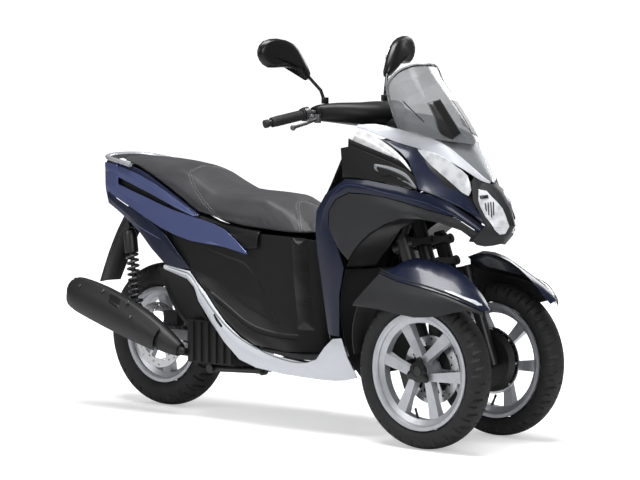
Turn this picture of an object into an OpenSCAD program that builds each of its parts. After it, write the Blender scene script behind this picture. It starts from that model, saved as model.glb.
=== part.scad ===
// Leaning scooter with two front wheels and one rear wheel.
// The front is -Y, the rider's left is +X and up is +Z, in millimetres.
// The origin is on the ground, below the middle of the whole vehicle.

/* [Layout] */
// Distance between the front and rear axles
wheelbase = 1310; // [1290:2:1330]
// Distance from the middle of the vehicle to the front axle
front_reach = 682; // [674:1:690]
// Distance between the middle planes of the two front tyres
track = 385; // [381:1:391]
// Width of the bodywork at the leg shield
body_w = 444; // [436:1:452]
// Height of the bodywork at the top of the windscreen
body_h = 1216; // [1206:1:1226]
// Wall of the moulded body panels
panel_t = 3; // [2.5:0.1:3.5]
// Half of the seam left between neighbouring panels
seam = 0.4; // [0.3:0.05:0.45]

/* [Steering] */
// Lean of the steering axes from upright
caster = 20; // [19.5:0.1:20.5]
// Distance on the ground from a steering axis to the tyre contact
trail = 68; // [65:1:71]
// Distance of each fork pivot from the middle of the vehicle
king_x = 95; // [93:1:97]
// Diameter of the steering stems
stem_d = 28; // [26:0.5:29]
// Outer diameter of the pivot tubes that hold the stems
pivot_d = 48; // [46:1:52]
// Running gap round the steering stems
stem_gap = 0.3; // [0.2:0.05:0.5]
// Distance along the steering axis from the ground to the fork bridges
bridge_w = 545; // [542:1:548]
// Thickness of the fork bridges
bridge_t = 30; // [28:1:31]
// Height of the pivot tubes of the linkage
pivot_h = 118; // [114:1:122]
// Distance of the steering arm pins behind the steering axes
arm_reach = 70; // [68:1:74]

/* [Front wheels] */
// Radius of the front tyres
front_tyre_r = 250; // [248:1:252]
// Width of the front tyres
front_tyre_w = 90; // [86:1:92]
// Radius of the front rim flanges
front_rim_r = 190; // [187:1:192]
// Diameter of the front brake discs
front_disc_d = 220; // [210:2:226]

/* [Rear wheel] */
// Radius of the rear tyre
rear_tyre_r = 251; // [249:1:253]
// Width of the rear tyre
rear_tyre_w = 112; // [106:1:114]
// Radius of the rear rim flange
rear_rim_r = 169; // [166:1:171]
// Diameter of the rear brake disc
rear_disc_d = 230; // [222:2:236]
// Thickness of the brake discs
disc_t = 4; // [3.5:0.5:5]

/* [Forks] */
// Distance of the fork legs from the middle of the vehicle
leg_x = 118; // [117:0.5:119]
// Distance between the two legs of one fork
leg_pitch = 60; // [56:1:64]
// Diameter of the lower fork legs
leg_d = 38; // [36:1:40]
// Diameter of the upper fork tubes
leg_tube_d = 28; // [26:1:30]
// Diameter of the wheel spindles
spindle_d = 15; // [14:0.5:17]

/* [Controls] */
// Overall width over the handlebar grips
bar_w = 735; // [725:1:745]
// Diameter of the handlebar tube
bar_d = 22; // [21:0.5:23]
// Diameter of the grips
grip_d = 33; // [31:0.5:35]

/* [Stand] */
// Distance of the stand pivot in front of the rear axle
stand_y = 500; // [495:1:510]
// Height of the stand pivot
stand_z = 172; // [170:1:176]
// Length of the stand legs
stand_len = 184; // [180:1:188]
// Diameter of the stand tube
stand_d = 24; // [22:1:26]

/* [Hidden] */
eps = 0.01;
blue = [0.10, 0.13, 0.25];
charcoal = [0.22, 0.22, 0.23];
black = [0.07, 0.07, 0.08];
silver = [0.75, 0.76, 0.78];

front_y = -front_reach;
rear_y = front_y + wheelbase;
wide = body_w / 444;
long = wheelbase / 1310;
tall = body_h / 1216;
wheel_x = track / 2;
ground_y = front_y - trail;
hub_v = trail * cos(caster) - front_tyre_r * sin(caster);
hub_w = trail * sin(caster) + front_tyre_r * cos(caster);
bridge_top = bridge_w + bridge_t;
pivot_w = bridge_top + 4;
lower_pin_w = pivot_w + 22;
upper_pin_w = pivot_w + pivot_h - 22;
head_top_w = 985;
stem_top_w = 1132;
down_x = 62;

// Depth of the bead seats below the rim flanges, and the gap left under the tyre
flange_h = 10;
bead_gap = 0.3;

// Places of the discs across their wheels, and the hubs that seat them
disc_x = 36;
rear_disc_x = 52;
disc_plane = wheel_x - disc_x;
hub_r = 27;
disc_hub_d = 64;
front_hub_in = disc_x - disc_t / 2;
rear_hub_out = rear_disc_x - disc_t / 2;

// Leaning arms in front of and behind the pivot tubes, and the tie rod above the bridges
arm_v0 = pivot_d / 2 + 6;
arm_t = 12;
arm_v1 = arm_v0 + stem_gap + arm_t;
arm_pin_d = 14;
arm_boss_d = 32;
tie_pin_d = 10;
tie_eye_d = 24;
tie_w = bridge_w + bridge_t / 2;

// Hinge at the front of the seat
seat_pin_y = 567;
seat_pin_z = 634;
seat_pin_d = 8;

// Place of a bodywork point from its distance behind the front axle
function body(p) = [p[0] * wide, front_y + p[1] * long, p[2] * tall];
// Place of a point that follows the rear axle
function at_rear(p) = [p[0] * wide, rear_y + p[1], p[2] * tall];
function body_net(net) = [for (row = net) [for (p = row) body(p)]];

// Smooth curves and surfaces through hand-set points
function neighbour(row, i) =
    i < 0 ? 2 * row[0] - row[1]
    : i >= len(row) ? 2 * row[len(row) - 1] - row[len(row) - 2]
    : row[i];
function ease(a, b, c, d, u) =
    0.5 * (2 * b + (c - a) * u + (2 * a - 5 * b + 4 * c - d) * u * u
    + (3 * b - a - 3 * c + d) * u * u * u);
function smooth_row(row, n) = concat(
    [for (i = [0 : len(row) - 2], s = [0 : n - 1])
        ease(neighbour(row, i - 1), row[i], row[i + 1], neighbour(row, i + 2), s / n)],
    [row[len(row) - 1]]);
function smooth_loop(loop, n) = let (m = len(loop))
    [for (i = [0 : m - 1], s = [0 : n - 1])
        ease(loop[(i + m - 1) % m], loop[i], loop[(i + 1) % m], loop[(i + 2) % m], s / n)];
function turn(net) = [for (j = [0 : len(net[0]) - 1]) [for (i = [0 : len(net) - 1]) net[i][j]]];
function smooth_net(net, across, along) =
    turn([for (column = turn([for (row = net) smooth_row(row, along)])) smooth_row(column, across)]);
function pull(a, b, d) = a + (b - a) * min(0.4, d / norm(b - a));
function inset_row(row, d) = let (last = len(row) - 1)
    [for (i = [0 : last]) i == 0 ? pull(row[0], row[1], d)
        : i == last ? pull(row[last], row[last - 1], d) : row[i]];
function inset_net(net, d) =
    turn([for (column = turn([for (row = net) inset_row(row, d)])) inset_row(column, d)]);
function unit(v) = v / max(norm(v), eps);
function facing(net, i, j) = let (
    rows = len(net) - 1, cols = len(net[0]) - 1,
    du = net[i][min(j + 1, cols)] - net[i][max(j - 1, 0)],
    dv = net[min(i + 1, rows)][j] - net[max(i - 1, 0)][j])
    unit(cross(du, dv));

// Curved panel of even wall: rows run front to rear, stacked from low and outer to high and inner
module skin(points, across = 2, along = 2, wall = panel_t, edge = seam) {
    net = inset_net(smooth_net(points, across, along), edge);
    rows = len(net);
    cols = len(net[0]);
    half = rows * cols;
    outer = [for (i = [0 : rows - 1], j = [0 : cols - 1]) net[i][j]];
    inner = [for (i = [0 : rows - 1], j = [0 : cols - 1]) net[i][j] - wall * facing(net, i, j)];
    faces = concat(
        [for (i = [0 : rows - 2], j = [0 : cols - 2])
            [i * cols + j, (i + 1) * cols + j, (i + 1) * cols + j + 1, i * cols + j + 1]],
        [for (i = [0 : rows - 2], j = [0 : cols - 2])
            [half + i * cols + j, half + i * cols + j + 1,
            half + (i + 1) * cols + j + 1, half + (i + 1) * cols + j]],
        [for (j = [0 : cols - 2]) [j, j + 1, half + j + 1, half + j]],
        [for (j = [0 : cols - 2]) let (a = (rows - 1) * cols + j)
            [a + 1, a, half + a, half + a + 1]],
        [for (i = [0 : rows - 2]) let (a = i * cols) [a + cols, a, half + a, half + a + cols]],
        [for (i = [0 : rows - 2]) let (a = i * cols + cols - 1)
            [a, a + cols, half + a + cols, half + a]]);
    polyhedron(concat(outer, inner), faces, convexity = 6);
}

// Closed solid through a row of closed outlines
module loft(outlines, around = 1, along = 1) {
    loops = turn([for (column = turn([for (o = outlines) smooth_loop(o, around)]))
        smooth_row(column, along)]);
    rows = len(loops);
    m = len(loops[0]);
    points = [for (i = [0 : rows - 1], j = [0 : m - 1]) loops[i][j]];
    faces = concat(
        [[for (j = [0 : m - 1]) m - 1 - j]],
        [[for (j = [0 : m - 1]) (rows - 1) * m + j]],
        [for (i = [0 : rows - 2], j = [0 : m - 1])
            [i * m + j, i * m + (j + 1) % m, (i + 1) * m + (j + 1) % m, (i + 1) * m + j]]);
    polyhedron(points, faces, convexity = 6);
}

// Round joint between two rods of one diameter, a little proud of both
module knuckle(p, d) {
    translate(p) sphere(d = d + 0.8, $fn = 32);
}

module both() {
    children();
    mirror([1, 0, 0]) children();
}

// Frame of a steering axis: x across, y to the rear and z up along the axis
module steering_frame() {
    translate([0, ground_y, 0]) rotate([-caster, 0, 0]) children();
}

// Round bar between two points
module rod(a, b, d) {
    v = b - a;
    translate(a)
        rotate([0, acos(v[2] / norm(v)), atan2(v[1], v[0])])
            cylinder(h = norm(v), d = d, $fn = 24);
}

// Cylinder along X, centred on the place where it stands
module axle_bar(x0, x1, d) {
    translate([x0, 0, 0]) rotate([0, 90, 0]) cylinder(h = x1 - x0, d = d, $fn = 48);
}

/* Wheels */

// Half the width between the rim flanges
function rim_half(w) = w * 0.34;

// Tyre section as an outline of radius and offset across the wheel
function tyre_outline(r, w, rim_r, steps) = let (
    crown = r - rim_r, half = w / 2, bead = rim_half(w) - 3 - bead_gap)
    concat(
        [for (k = [0 : steps]) let (a = 180 * k / steps)
            [rim_r + crown * (0.30 + 0.70 * pow(max(0, sin(a)), 0.62)), -half * cos(a)]],
        [[rim_r + 2, bead], [rim_r - flange_h + bead_gap, bead],
        [rim_r - flange_h + bead_gap, -bead], [rim_r + 2, -bead]]);

module tyre(r, w, rim_r) {
    rotate([0, 90, 0]) rotate_extrude($fn = 96) polygon(tyre_outline(r, w, rim_r, 14));
}

// Cast rim with flanges, a dropped well, a hub with its disc seat and three spoke pairs
module cast_wheel(rim_r, w, hub_in, hub_out, spoke_phase, dish) {
    half = rim_half(w);
    seat = rim_r - flange_h;
    well = seat - 25;
    edge = [[seat, half - 3], [rim_r - 1, half - 1.5], [rim_r, half + 1], [rim_r - 1, half + 3.5],
        [seat - 2, half + 3], [seat - 8, half - 2], [seat - 7, half * 0.7], [well, half * 0.46]];
    top = [[well + 6, half * 0.4], [seat, half * 0.62]];
    rotate([0, 90, 0]) rotate_extrude($fn = 96)
        polygon(concat(edge, [for (p = flip(edge)) [p[0], -p[1]]],
            [for (p = flip(top)) [p[0], -p[1]]], top));
    difference() {
        union() {
            axle_bar(-hub_in, hub_out, 2 * hub_r);
            children();
            intersection() {
                for (k = [0 : 2]) rotate([spoke_phase + 120 * k, 0, 0]) {
                    spoke(hub_r, well, -1, half);
                    spoke(hub_r, well, 1, half);
                    translate([-half, -17, 0]) cube([2 * half, 34, hub_r + 16]);
                }
                rotate([0, 90, 0]) rotate_extrude($fn = 64) polygon([
                    [0, dish + 16], [hub_r + 4, dish + 15], [rim_r * 0.55, dish + 9],
                    [well + 2, half * 0.5], [well + 2, -half * 0.5],
                    [rim_r * 0.55, dish - 12], [hub_r + 4, dish - 20], [0, dish - 20]]);
            }
        }
        axle_bar(-3 * hub_in, 3 * hub_out, spindle_d + 2 * stem_gap);
    }
}

// One blade of a spoke pair, in the plane of the wheel, pointing up
module spoke(r0, r1, side, half) {
    hub_a = 8 * side;
    rim_a = 34 * side;
    hub_half_w = 12;
    rim_half_w = 19;
    p0 = [sin(hub_a), cos(hub_a)] * (r0 + 9);
    p1 = [sin(rim_a), cos(rim_a)] * (r1 + 1);
    d = (p1 - p0) / norm(p1 - p0);
    n = [d[1], -d[0]];
    rotate([90, 0, 90]) translate([0, 0, -half]) linear_extrude(height = 2 * half)
        polygon([p0 + n * hub_half_w, p0 - n * hub_half_w, p1 - n * rim_half_w, p1 + n * rim_half_w]);
}

// Drilled brake disc with six arms to its hub ring
module brake_disc(d, hub_d, holes) {
    rotate([90, 0, 90]) translate([0, 0, -disc_t / 2]) linear_extrude(height = disc_t)
        union() {
            difference() {
                circle(d = d, $fn = 72);
                circle(d = d - 62, $fn = 72);
                for (k = [0 : holes - 1])
                    rotate(k * 360 / holes) translate([d / 2 - 10 - 8 * (k % 3), 0]) circle(d = 7, $fn = 16);
            }
            difference() {
                union() {
                    circle(d = hub_d + 16, $fn = 48);
                    for (k = [0 : 5]) rotate(60 * k) translate([hub_d / 2, -6])
                        square([d / 2 - 30 - hub_d / 2, 12]);
                }
                circle(d = hub_d, $fn = 48);
            }
        }
}

module front_wheel_place(side) {
    translate([side * wheel_x, front_y, front_tyre_r]) scale_side(side) children();
}

module scale_side(side) {
    if (side < 0) mirror([1, 0, 0]) children();
    else children();
}

module rear_wheel_place() {
    translate([0, rear_y, rear_tyre_r]) mirror([1, 0, 0]) children();
}

module tyre_right() color(black) front_wheel_place(-1) tyre(front_tyre_r, front_tyre_w, front_rim_r);
module tyre_left() color(black) front_wheel_place(1) tyre(front_tyre_r, front_tyre_w, front_rim_r);
module tyre_rear() color(black) rear_wheel_place() tyre(rear_tyre_r, rear_tyre_w, rear_rim_r);

module front_rim(side) {
    color(silver) front_wheel_place(side)
        cast_wheel(front_rim_r, front_tyre_w, front_hub_in, 30, 7, 6)
            axle_bar(-front_hub_in, 8 - front_hub_in, disc_hub_d + 14);
}
module rim_right() front_rim(-1);
module rim_left() front_rim(1);
module rim_rear() {
    color(silver) rear_wheel_place()
        cast_wheel(rear_rim_r, rear_tyre_w, 46, rear_hub_out, 25, 4)
            axle_bar(rear_hub_out - 8, rear_hub_out, disc_hub_d + 14);
}

module front_disc(side) {
    color("gray") front_wheel_place(side) translate([-disc_x, 0, 0])
        brake_disc(front_disc_d, disc_hub_d, 24);
}
module disc_right() front_disc(-1);
module disc_left() front_disc(1);
module disc_rear() color("gray") rear_wheel_place() translate([rear_disc_x, 0, 0])
    brake_disc(rear_disc_d, disc_hub_d, 24);

/* Leaning linkage and forks */

// Tube with two pairs of stub spindles for the leaning arms
module pivot_tube(x, top) {
    translate([x, 0, 0]) difference() {
        union() {
            translate([0, 0, pivot_w]) cylinder(h = top - pivot_w, d = pivot_d, $fn = 48);
            for (w = [lower_pin_w, upper_pin_w]) translate([0, 0, w]) {
                rotate([90, 0, 0]) cylinder(h = 2 * arm_v0, d = 30, center = true, $fn = 32);
                rotate([90, 0, 0]) cylinder(h = 2 * arm_v1 + 6, d = arm_pin_d, center = true, $fn = 32);
            }
        }
        translate([0, 0, pivot_w - 1])
            cylinder(h = top - pivot_w + 2, d = stem_d + 2 * stem_gap, $fn = 48);
    }
}

// One arm of the parallelogram, waisted between its three eyes
module lean_arm(v, w) {
    translate([0, v, w]) rotate([90, 0, 0]) linear_extrude(height = arm_t, center = true)
        difference() {
            union() {
                for (x = [-king_x, 0, king_x]) translate([x, 0]) circle(d = arm_boss_d, $fn = 32);
                polygon([
                    [-king_x, 14], [-king_x * 0.55, 9], [0, 15], [king_x * 0.55, 9], [king_x, 14],
                    [king_x, -14], [king_x * 0.55, -9], [0, -15], [-king_x * 0.55, -9],
                    [-king_x, -14]]);
            }
            for (x = [-king_x, 0, king_x]) translate([x, 0])
                circle(d = arm_pin_d + 2 * stem_gap, $fn = 32);
        }
}

module lean_arms() {
    color("dimgray") steering_frame()
        for (s = [-1, 1], w = [lower_pin_w, upper_pin_w])
            lean_arm(s * (arm_v0 + stem_gap + arm_t / 2), w);
}

module side_pivots() {
    color(black) steering_frame() for (s = [-1, 1]) pivot_tube(s * king_x, pivot_w + pivot_h);
}

// Steering head with the two tubes that run down and back under the floor
module frame() {
    color(black) {
        steering_frame() pivot_tube(0, head_top_w);
        top_w = upper_pin_w + 115;
        down_path = [[12, ground_y + top_w * sin(caster) + 20, top_w * cos(caster)],
            body([down_x, 352, 540]), body([down_x, 378, 232]), body([92, 432, 203]),
            at_rear([92, -530, 212]), at_rear([92, -260, 432]), at_rear([128, -210, 560])];
        loop_end = at_rear([96, 90, 722]);
        both() difference() {
            union() {
                for (i = [0 : len(down_path) - 2]) rod(down_path[i], down_path[i + 1], 34);
                for (i = [1 : len(down_path) - 1]) knuckle(down_path[i], 34);
                rod(down_path[len(down_path) - 1], loop_end, 28);
                knuckle(loop_end, 28);
                translate(at_rear([92, 74, 684])) cube([8, 36, 92], center = true);
                translate([0, rear_y - stand_y, stand_z]) axle_bar(56, 70, stand_d + 16);
                translate([56, rear_y - stand_y - 14, stand_z]) cube([14, 28, 36]);
                translate([56, rear_y - stand_y - 14, stand_z + 18]) cube([30, 28, 18]);
            }
            steering_frame() translate([0, 0, pivot_w]) cylinder(h = head_top_w, d = pivot_d - 2, $fn = 48);
            translate([0, rear_y - stand_y, stand_z]) axle_bar(0, 120, stand_d + 2 * stem_gap);
        }
        translate(at_rear([0, 90, 722])) axle_bar(-96 * wide, 96 * wide, 24);
        translate(body([0, 560, 206])) axle_bar(-92 * wide, 92 * wide, 24);
    }
}

// Twin-leg fork on the inner side of its wheel, with stem, steering arm and spindle
module fork(side) {
    steering_frame() scale_side(side) {
        for (s = [-1, 1]) translate([leg_x, hub_v + s * leg_pitch / 2, 0]) {
            translate([0, 0, hub_w - 22]) cylinder(h = 190, d = leg_d, $fn = 48);
            translate([0, 0, hub_w]) cylinder(h = bridge_w + bridge_t / 2 - hub_w, d = leg_tube_d, $fn = 32);
            translate([0, 0, hub_w + 160]) cylinder(h = 12, d = leg_d + 5, $fn = 48);
            translate([0, 0, bridge_w - 6]) cylinder(h = bridge_t + 6, d = leg_tube_d + 12, $fn = 32);
        }
        translate([leg_x - 13, hub_v - leg_pitch / 2, hub_w - 24]) cube([26, leg_pitch, 52]);
        translate([0, hub_v, hub_w]) {
            axle_bar(leg_x - 22, wheel_x - front_hub_in - 3, 38);
            translate([disc_plane - 21, 0, 0]) rotate([0, 90, 0]) cylinder(h = 12, d1 = 170, d2 = 204, $fn = 48);
            axle_bar(leg_x - 22, wheel_x + 34, spindle_d);
            axle_bar(wheel_x + 30.6, wheel_x + 40, 30);
        }
        translate([king_x - 20, hub_v - leg_pitch / 2, bridge_w])
            cube([leg_x - king_x + 36, leg_pitch / 2 - hub_v + 18, bridge_t]);
        translate([king_x, 0, bridge_w]) cylinder(h = bridge_t, d = 52, $fn = 48);
        translate([king_x, 0, bridge_w]) cylinder(h = pivot_w + pivot_h + 10 - bridge_w, d = stem_d, $fn = 48);
        translate([king_x, 0, pivot_w + pivot_h + 0.4]) cylinder(h = 12, d = stem_d + 10, $fn = 6);
        translate([king_x - 11, 0, bridge_w]) cube([22, arm_reach, 12]);
        translate([king_x, arm_reach, bridge_w]) cylinder(h = 12, d = 24, $fn = 32);
        translate([king_x, arm_reach, bridge_w]) cylinder(h = bridge_t + 6, d = tie_pin_d, $fn = 24);
        caliper(side);
    }
}

// Sliding brake caliper over the disc, with the lug that holds it to the rear leg
module caliper(side) {
    difference() {
        union() {
            translate([disc_plane - 26, hub_v + 62, hub_w - 30]) cube([39, 60, 84]);
            translate([leg_x - 8, hub_v + leg_pitch / 2, hub_w - 14]) cube([22, 46, 50]);
            translate([disc_plane - 26, hub_v + 88, hub_w + 12])
                rotate([0, -90, 0]) cylinder(h = 8, d = 34, $fn = 32);
        }
        translate([disc_plane, hub_v, hub_w]) axle_bar(-disc_t / 2 - 1, disc_t / 2 + 1, front_disc_d + 4);
    }
}

module fork_right() color(black) fork(-1);
module fork_left() color(black) fork(1);

// Tie rod that turns both forks with the handlebar
module tie_rod() {
    color("gray") steering_frame() difference() {
        union() {
            translate([0, arm_reach, tie_w + 6]) axle_bar(-king_x, king_x, 13);
            for (x = [-king_x, 0, king_x]) translate([x, arm_reach, tie_w])
                cylinder(h = 13, d = tie_eye_d, $fn = 32);
        }
        for (x = [-king_x, 0, king_x]) translate([x, arm_reach, tie_w - 1])
            cylinder(h = 16, d = tie_pin_d + 2 * stem_gap, $fn = 32);
    }
}

/* Handlebar */

bar_centre = [0, front_y + 398, 1040];
bar_bend = [150, front_y + 425, 1060];
bar_neck = [214, front_y + 465, 1057];
bar_tip = [bar_w / 2 - 6, front_y + 516, 1027];
grip_start = mixed(bar_neck, bar_tip, 0.17);
function mixed(a, b, u) = a + (b - a) * u;

module handlebar() {
    color(black) {
        steering_frame() {
            translate([0, 0, bridge_w]) cylinder(h = stem_top_w - bridge_w, d = stem_d, $fn = 48);
            translate([0, 0, bridge_w]) cylinder(h = bridge_t, d = 40, $fn = 48);
            translate([-11, 0, bridge_w]) cube([22, arm_reach, 12]);
            translate([0, arm_reach, bridge_w]) cylinder(h = 12, d = 24, $fn = 32);
            translate([0, arm_reach, bridge_w]) cylinder(h = bridge_t + 6, d = tie_pin_d, $fn = 24);
            translate([0, 0, head_top_w + 0.4]) cylinder(h = 14, d = pivot_d, $fn = 48);
            translate([-24, -20, stem_top_w - 30]) cube([48, 120, 30]);
        }
        both() {
            rod(bar_centre - [eps, 0, 0], bar_bend, bar_d);
            rod(bar_bend, bar_neck, bar_d);
            rod(bar_neck, bar_tip, bar_d);
            knuckle(bar_bend, bar_d);
            knuckle(bar_neck, bar_d);
        }
    }
}

// Moulded cover round the middle of the handlebar
module bar_cover() {
    color(charcoal) difference() {
        loft([for (p = [
            [-206, 452, 1056, 24, 22], [-186, 440, 1057, 34, 28], [-140, 410, 1056, 52, 34],
            [-60, 372, 1050, 74, 40], [0, 365, 1050, 82, 42], [60, 372, 1050, 74, 40],
            [140, 410, 1056, 52, 34], [186, 440, 1057, 34, 28], [206, 452, 1056, 24, 22]])
            [for (c = [[0.8, -0.85], [0, -0.95], [-0.8, -0.8], [-1, 0], [-0.75, 0.8], [0, 1],
                [0.75, 0.75], [1, -0.2]])
                [p[0], front_y + p[1] + c[0] * p[3], p[2] + c[1] * p[4]]]], 2, 2);
        bar_hollow();
    }
}

// Room inside the cover for the bar, its riser and the stem
module bar_hollow() {
    both() {
        rod(bar_centre - [1, 0, 0], bar_bend, bar_d + 1);
        rod(bar_bend, bar_neck, bar_d + 1);
        knuckle(bar_bend, bar_d + 1);
        rod(bar_neck, bar_tip, bar_d + 1);
        knuckle(bar_neck, bar_d + 1);
    }
    steering_frame() {
        translate([0, 0, stem_top_w - 200]) cylinder(h = 200.5, d = stem_d + 1, $fn = 48);
        translate([-24.5, -20.5, stem_top_w - 30.5]) cube([49, 121, 31]);
    }
}

// Ribbed grips with their end weights
module grips() {
    color(black) both() {
        d = (bar_tip - bar_neck) / norm(bar_tip - bar_neck);
        difference() {
            union() {
                rod(grip_start, bar_tip - d * 12, grip_d);
                rod(grip_start, grip_start + d * 5, grip_d + 9);
                for (k = [0 : 11]) rod(grip_start + d * (12 + 8 * k), grip_start + d * (15 + 8 * k), grip_d + 1.6);
            }
            rod(bar_neck, bar_tip + d, bar_d + 0.6);
        }
        rod(bar_tip + d * 0.3, bar_tip + d * 14, 27);
    }
}

lever_end = [330, front_y + 437, 1014];
lever_root = [222, front_y + 426, 1040];

// Brake levers with their perches, switch pods and reservoirs
module levers() {
    color("dimgray") both() {
        d = (bar_tip - bar_neck) / norm(bar_tip - bar_neck);
        pod = bar_neck + d * 15;
        difference() {
            union() {
                rod(lever_root, mixed(lever_root, lever_end, 0.5) + [0, -6, 0], 11);
                rod(mixed(lever_root, lever_end, 0.5) + [0, -6, 0], lever_end, 11);
                knuckle(mixed(lever_root, lever_end, 0.5) + [0, -6, 0], 11);
                translate(lever_end) sphere(d = 19, $fn = 32);
                rod(lever_root + [0, 0, -14], lever_root + [0, 0, 14], 22);
                rod(lever_root, pod + [0, 0, -4], 20);
                rod(pod - d * 8, pod + d * 9, 46);
            }
            rod(bar_neck - d * 14, bar_tip, bar_d + 1.2);
        }
    }
}

mirror_root = [152, front_y + 455, 1090];
mirror_knee = [166, front_y + 462, 1130];
mirror_neck = [200, front_y + 484, 1174];
mirror_sweep = 0.19;

// Mirror heads on bent stalks
module mirrors() {
    color(black) both() {
        rod(mirror_root + [0, 0, -4], mirror_root + [0, 0, 16], 24);
        rod(mirror_root, mirror_knee, 11);
        knuckle(mirror_knee, 11);
        rod(mirror_knee, mirror_neck, 11);
        loft([for (p = [[462, 0.55], [468, 0.9], [484, 1.0], [492, 0.93]])
            [for (c = mirror_outline) let (m = [300, 1242])
                [m[0] + (c[0] - m[0]) * p[1], front_y + p[0] + mirror_sweep * (c[0] - mirror_root[0]),
                    m[1] + (c[1] - m[1]) * p[1]]]], 2, 2);
    }
}
mirror_outline = [[396, 1262], [374, 1292], [320, 1300], [262, 1284], [226, 1246], [190, 1180],
    [206, 1162], [246, 1196], [300, 1206], [356, 1206], [388, 1230]];

/* Nose */

// Lines shared by neighbouring panels, as half width, distance behind the front axle, height
band_low = [[178, 298, 1014], [181, 224, 999], [158, 150, 971], [130, 89, 953], [112, 20, 933],
    [94, -36, 906], [70, -75, 880], [38, -104, 852], [10, -118, 842]];
band_high = [[166, 300, 1022], [162, 232, 1027], [146, 158, 1014], [124, 90, 1001], [100, 28, 978],
    [72, -12, 950], [42, -60, 902], [20, -98, 864], [5, -114, 846]];
side_high = [[186, 206, 984], [158, 146, 969], [131, 85, 950], [128, 54, 915], [118, 0, 868],
    [100, -46, 832], [85, -83, 801], [76, -115, 760], [72, -146, 718]];
side_low = [[186, 203, 980], [181, 172, 972], [182, 114, 943], [184, 77, 915], [190, 54, 883],
    [199, 24, 829], [180, -25, 811], [134, -90, 777], [84, -143, 731]];

module nose_sides() {
    color(blue) both() skin(body_net([flip(side_low), bulge(flip(side_low), flip(side_high), 6), flip(side_high)]), 2, 1);
}
function flip(row) = [for (i = [0 : len(row) - 1]) row[len(row) - 1 - i]];

// Row midway between two others, pushed out sideways
function bulge(a, b, out) = [for (i = [0 : len(a) - 1]) (a[i] + b[i]) / 2 + [out, 0, 0]];

// Row midway between two others, pushed upwards
function arched(a, b, up) = [for (i = [0 : len(a) - 1]) (a[i] + b[i]) / 2 + [0, 0, up]];

module nose_bands() {
    color(silver) both()
        skin(body_net([flip(band_low), arched(flip(band_low), flip(band_high), 5), flip(band_high)]), 2, 2);
}

// Satin strip between the bands, from the screen to the tip of the nose
module nose_centre() {
    edge = [band_high[8], band_high[7], band_high[6], band_high[5], band_high[4]];
    crown = [for (p = edge) [0, p[1] - p[0] * 0.15, p[2] + p[0] * 0.05 + 2]];
    mid = [for (i = [0 : len(edge) - 1]) (edge[i] * 0.55 + crown[i] * 0.45) + [0, -edge[i][0] * 0.05, edge[i][0] * 0.03]];
    color("gray") skin(body_net([edge, mid, crown, mirrored(mid), mirrored(edge)]), 1, 2);
}
function mirrored(row) = [for (p = row) [-p[0], p[1], p[2]]];

beak_rows = [
    [[0, -120, 840], [14, -119, 841], [34, -107, 847], [56, -88, 863], [66, -85, 850]],
    [[0, -152, 812], [20, -146, 816], [42, -122, 820], [60, -104, 822], [76, -99, 790]],
    [[0, -186, 766], [22, -176, 768], [46, -142, 768], [64, -118, 766], [73, -118, 760]],
    [[0, -204, 711], [24, -195, 710], [48, -168, 708], [64, -150, 708], [71, -146, 713]],
    [[0, -184, 680], [28, -178, 678], [56, -160, 676], [76, -147, 684], [90, -141, 698]],
    [[0, -152, 650], [28, -145, 646], [54, -130, 644], [78, -116, 650], [97, -114, 664]]];

// Outline of one headlamp seen from the front
lamp_outline = [[56, 826], [38, 822], [26, 790], [18, 746], [14, 706], [16, 686], [34, 684],
    [50, 700], [60, 740], [63, 790]];

module lamp_prism(gap) {
    translate([0, front_y - 100, 0]) rotate([90, 0, 0]) linear_extrude(height = 300, center = true)
        offset(delta = -gap) polygon([for (p = lamp_outline) [p[0] * wide, p[1] * tall]]);
}

beak_net = [for (row = beak_rows) concat(mirrored(flip(row)), [for (i = [1 : len(row) - 1]) row[i]])];

module nose_beak() {
    color(charcoal) difference() {
        skin(body_net(flip(beak_net)), 1, 1);
        both() lamp_prism(0);
    }
}

module headlamps() {
    color("white") both() intersection() {
        skin(body_net(flip(beak_net)), 1, 1);
        lamp_prism(0.4);
    }
}

strip_high = [[68, -88, 824], [72, -74, 870], [93, -41, 900], [106, -10, 924], [120, 40, 943], [130, 84, 950]];
strip_low = [[82, -87, 804], [92, -66, 816], [101, -48, 834], [119, 0, 870], [129, 52, 917], [131, 80, 945]];

module light_strips() {
    color("white") both() skin(body_net([strip_low, strip_high]), 1, 2);
}

lens_high = [[192, 62, 890], [187.5, 92, 919], [187.5, 144, 956], [193, 214, 991], [193, 274, 1010]];
lens_low = [[194, 58, 882], [195, 108, 912], [200, 162, 930], [203, 222, 948], [204, 298, 970]];

module indicators() {
    color("white") both() skin(body_net([lens_low, bulge(lens_low, lens_high, 5), lens_high]), 2, 2);
}

vent_high = [[197, 38, 864], [199, 76, 888], [205, 138, 910], [210, 212, 933], [214, 292, 956], [215, 335, 948]];
vent_low = [[200.5, 27, 825], [206, 92, 835], [211, 148, 843], [217, 215, 851], [220, 280, 855], [218, 324, 853]];

module vent_panels() {
    color(black) both() skin(body_net([vent_low, vent_high]), 2, 1);
}

screen_half = [
    [[0, -38, 963], [62, -16, 972], [112, 34, 982], [148, 92, 1000], [166, 134, 1014]],
    [[0, 10, 1035], [62, 32, 1040], [112, 80, 1046], [148, 130, 1060], [166, 164, 1072]],
    [[0, 72, 1108], [60, 92, 1112], [106, 134, 1118], [138, 174, 1126], [152, 198, 1138]],
    [[0, 130, 1170], [50, 143, 1174], [88, 168, 1176], [117, 188, 1176], [132, 201, 1174]],
    [[0, 168, 1216], [34, 168, 1218], [64, 172, 1216], [88, 180, 1208], [104, 190, 1198]]];
screen_net = [for (row = screen_half) concat(mirrored(flip(row)), [for (i = [1 : len(row) - 1]) row[i]])];

module windscreen() {
    color([0.6, 0.65, 0.7, 0.5]) skin(body_net(flip(screen_net)), 2, 1, 3, 0);
}

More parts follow.
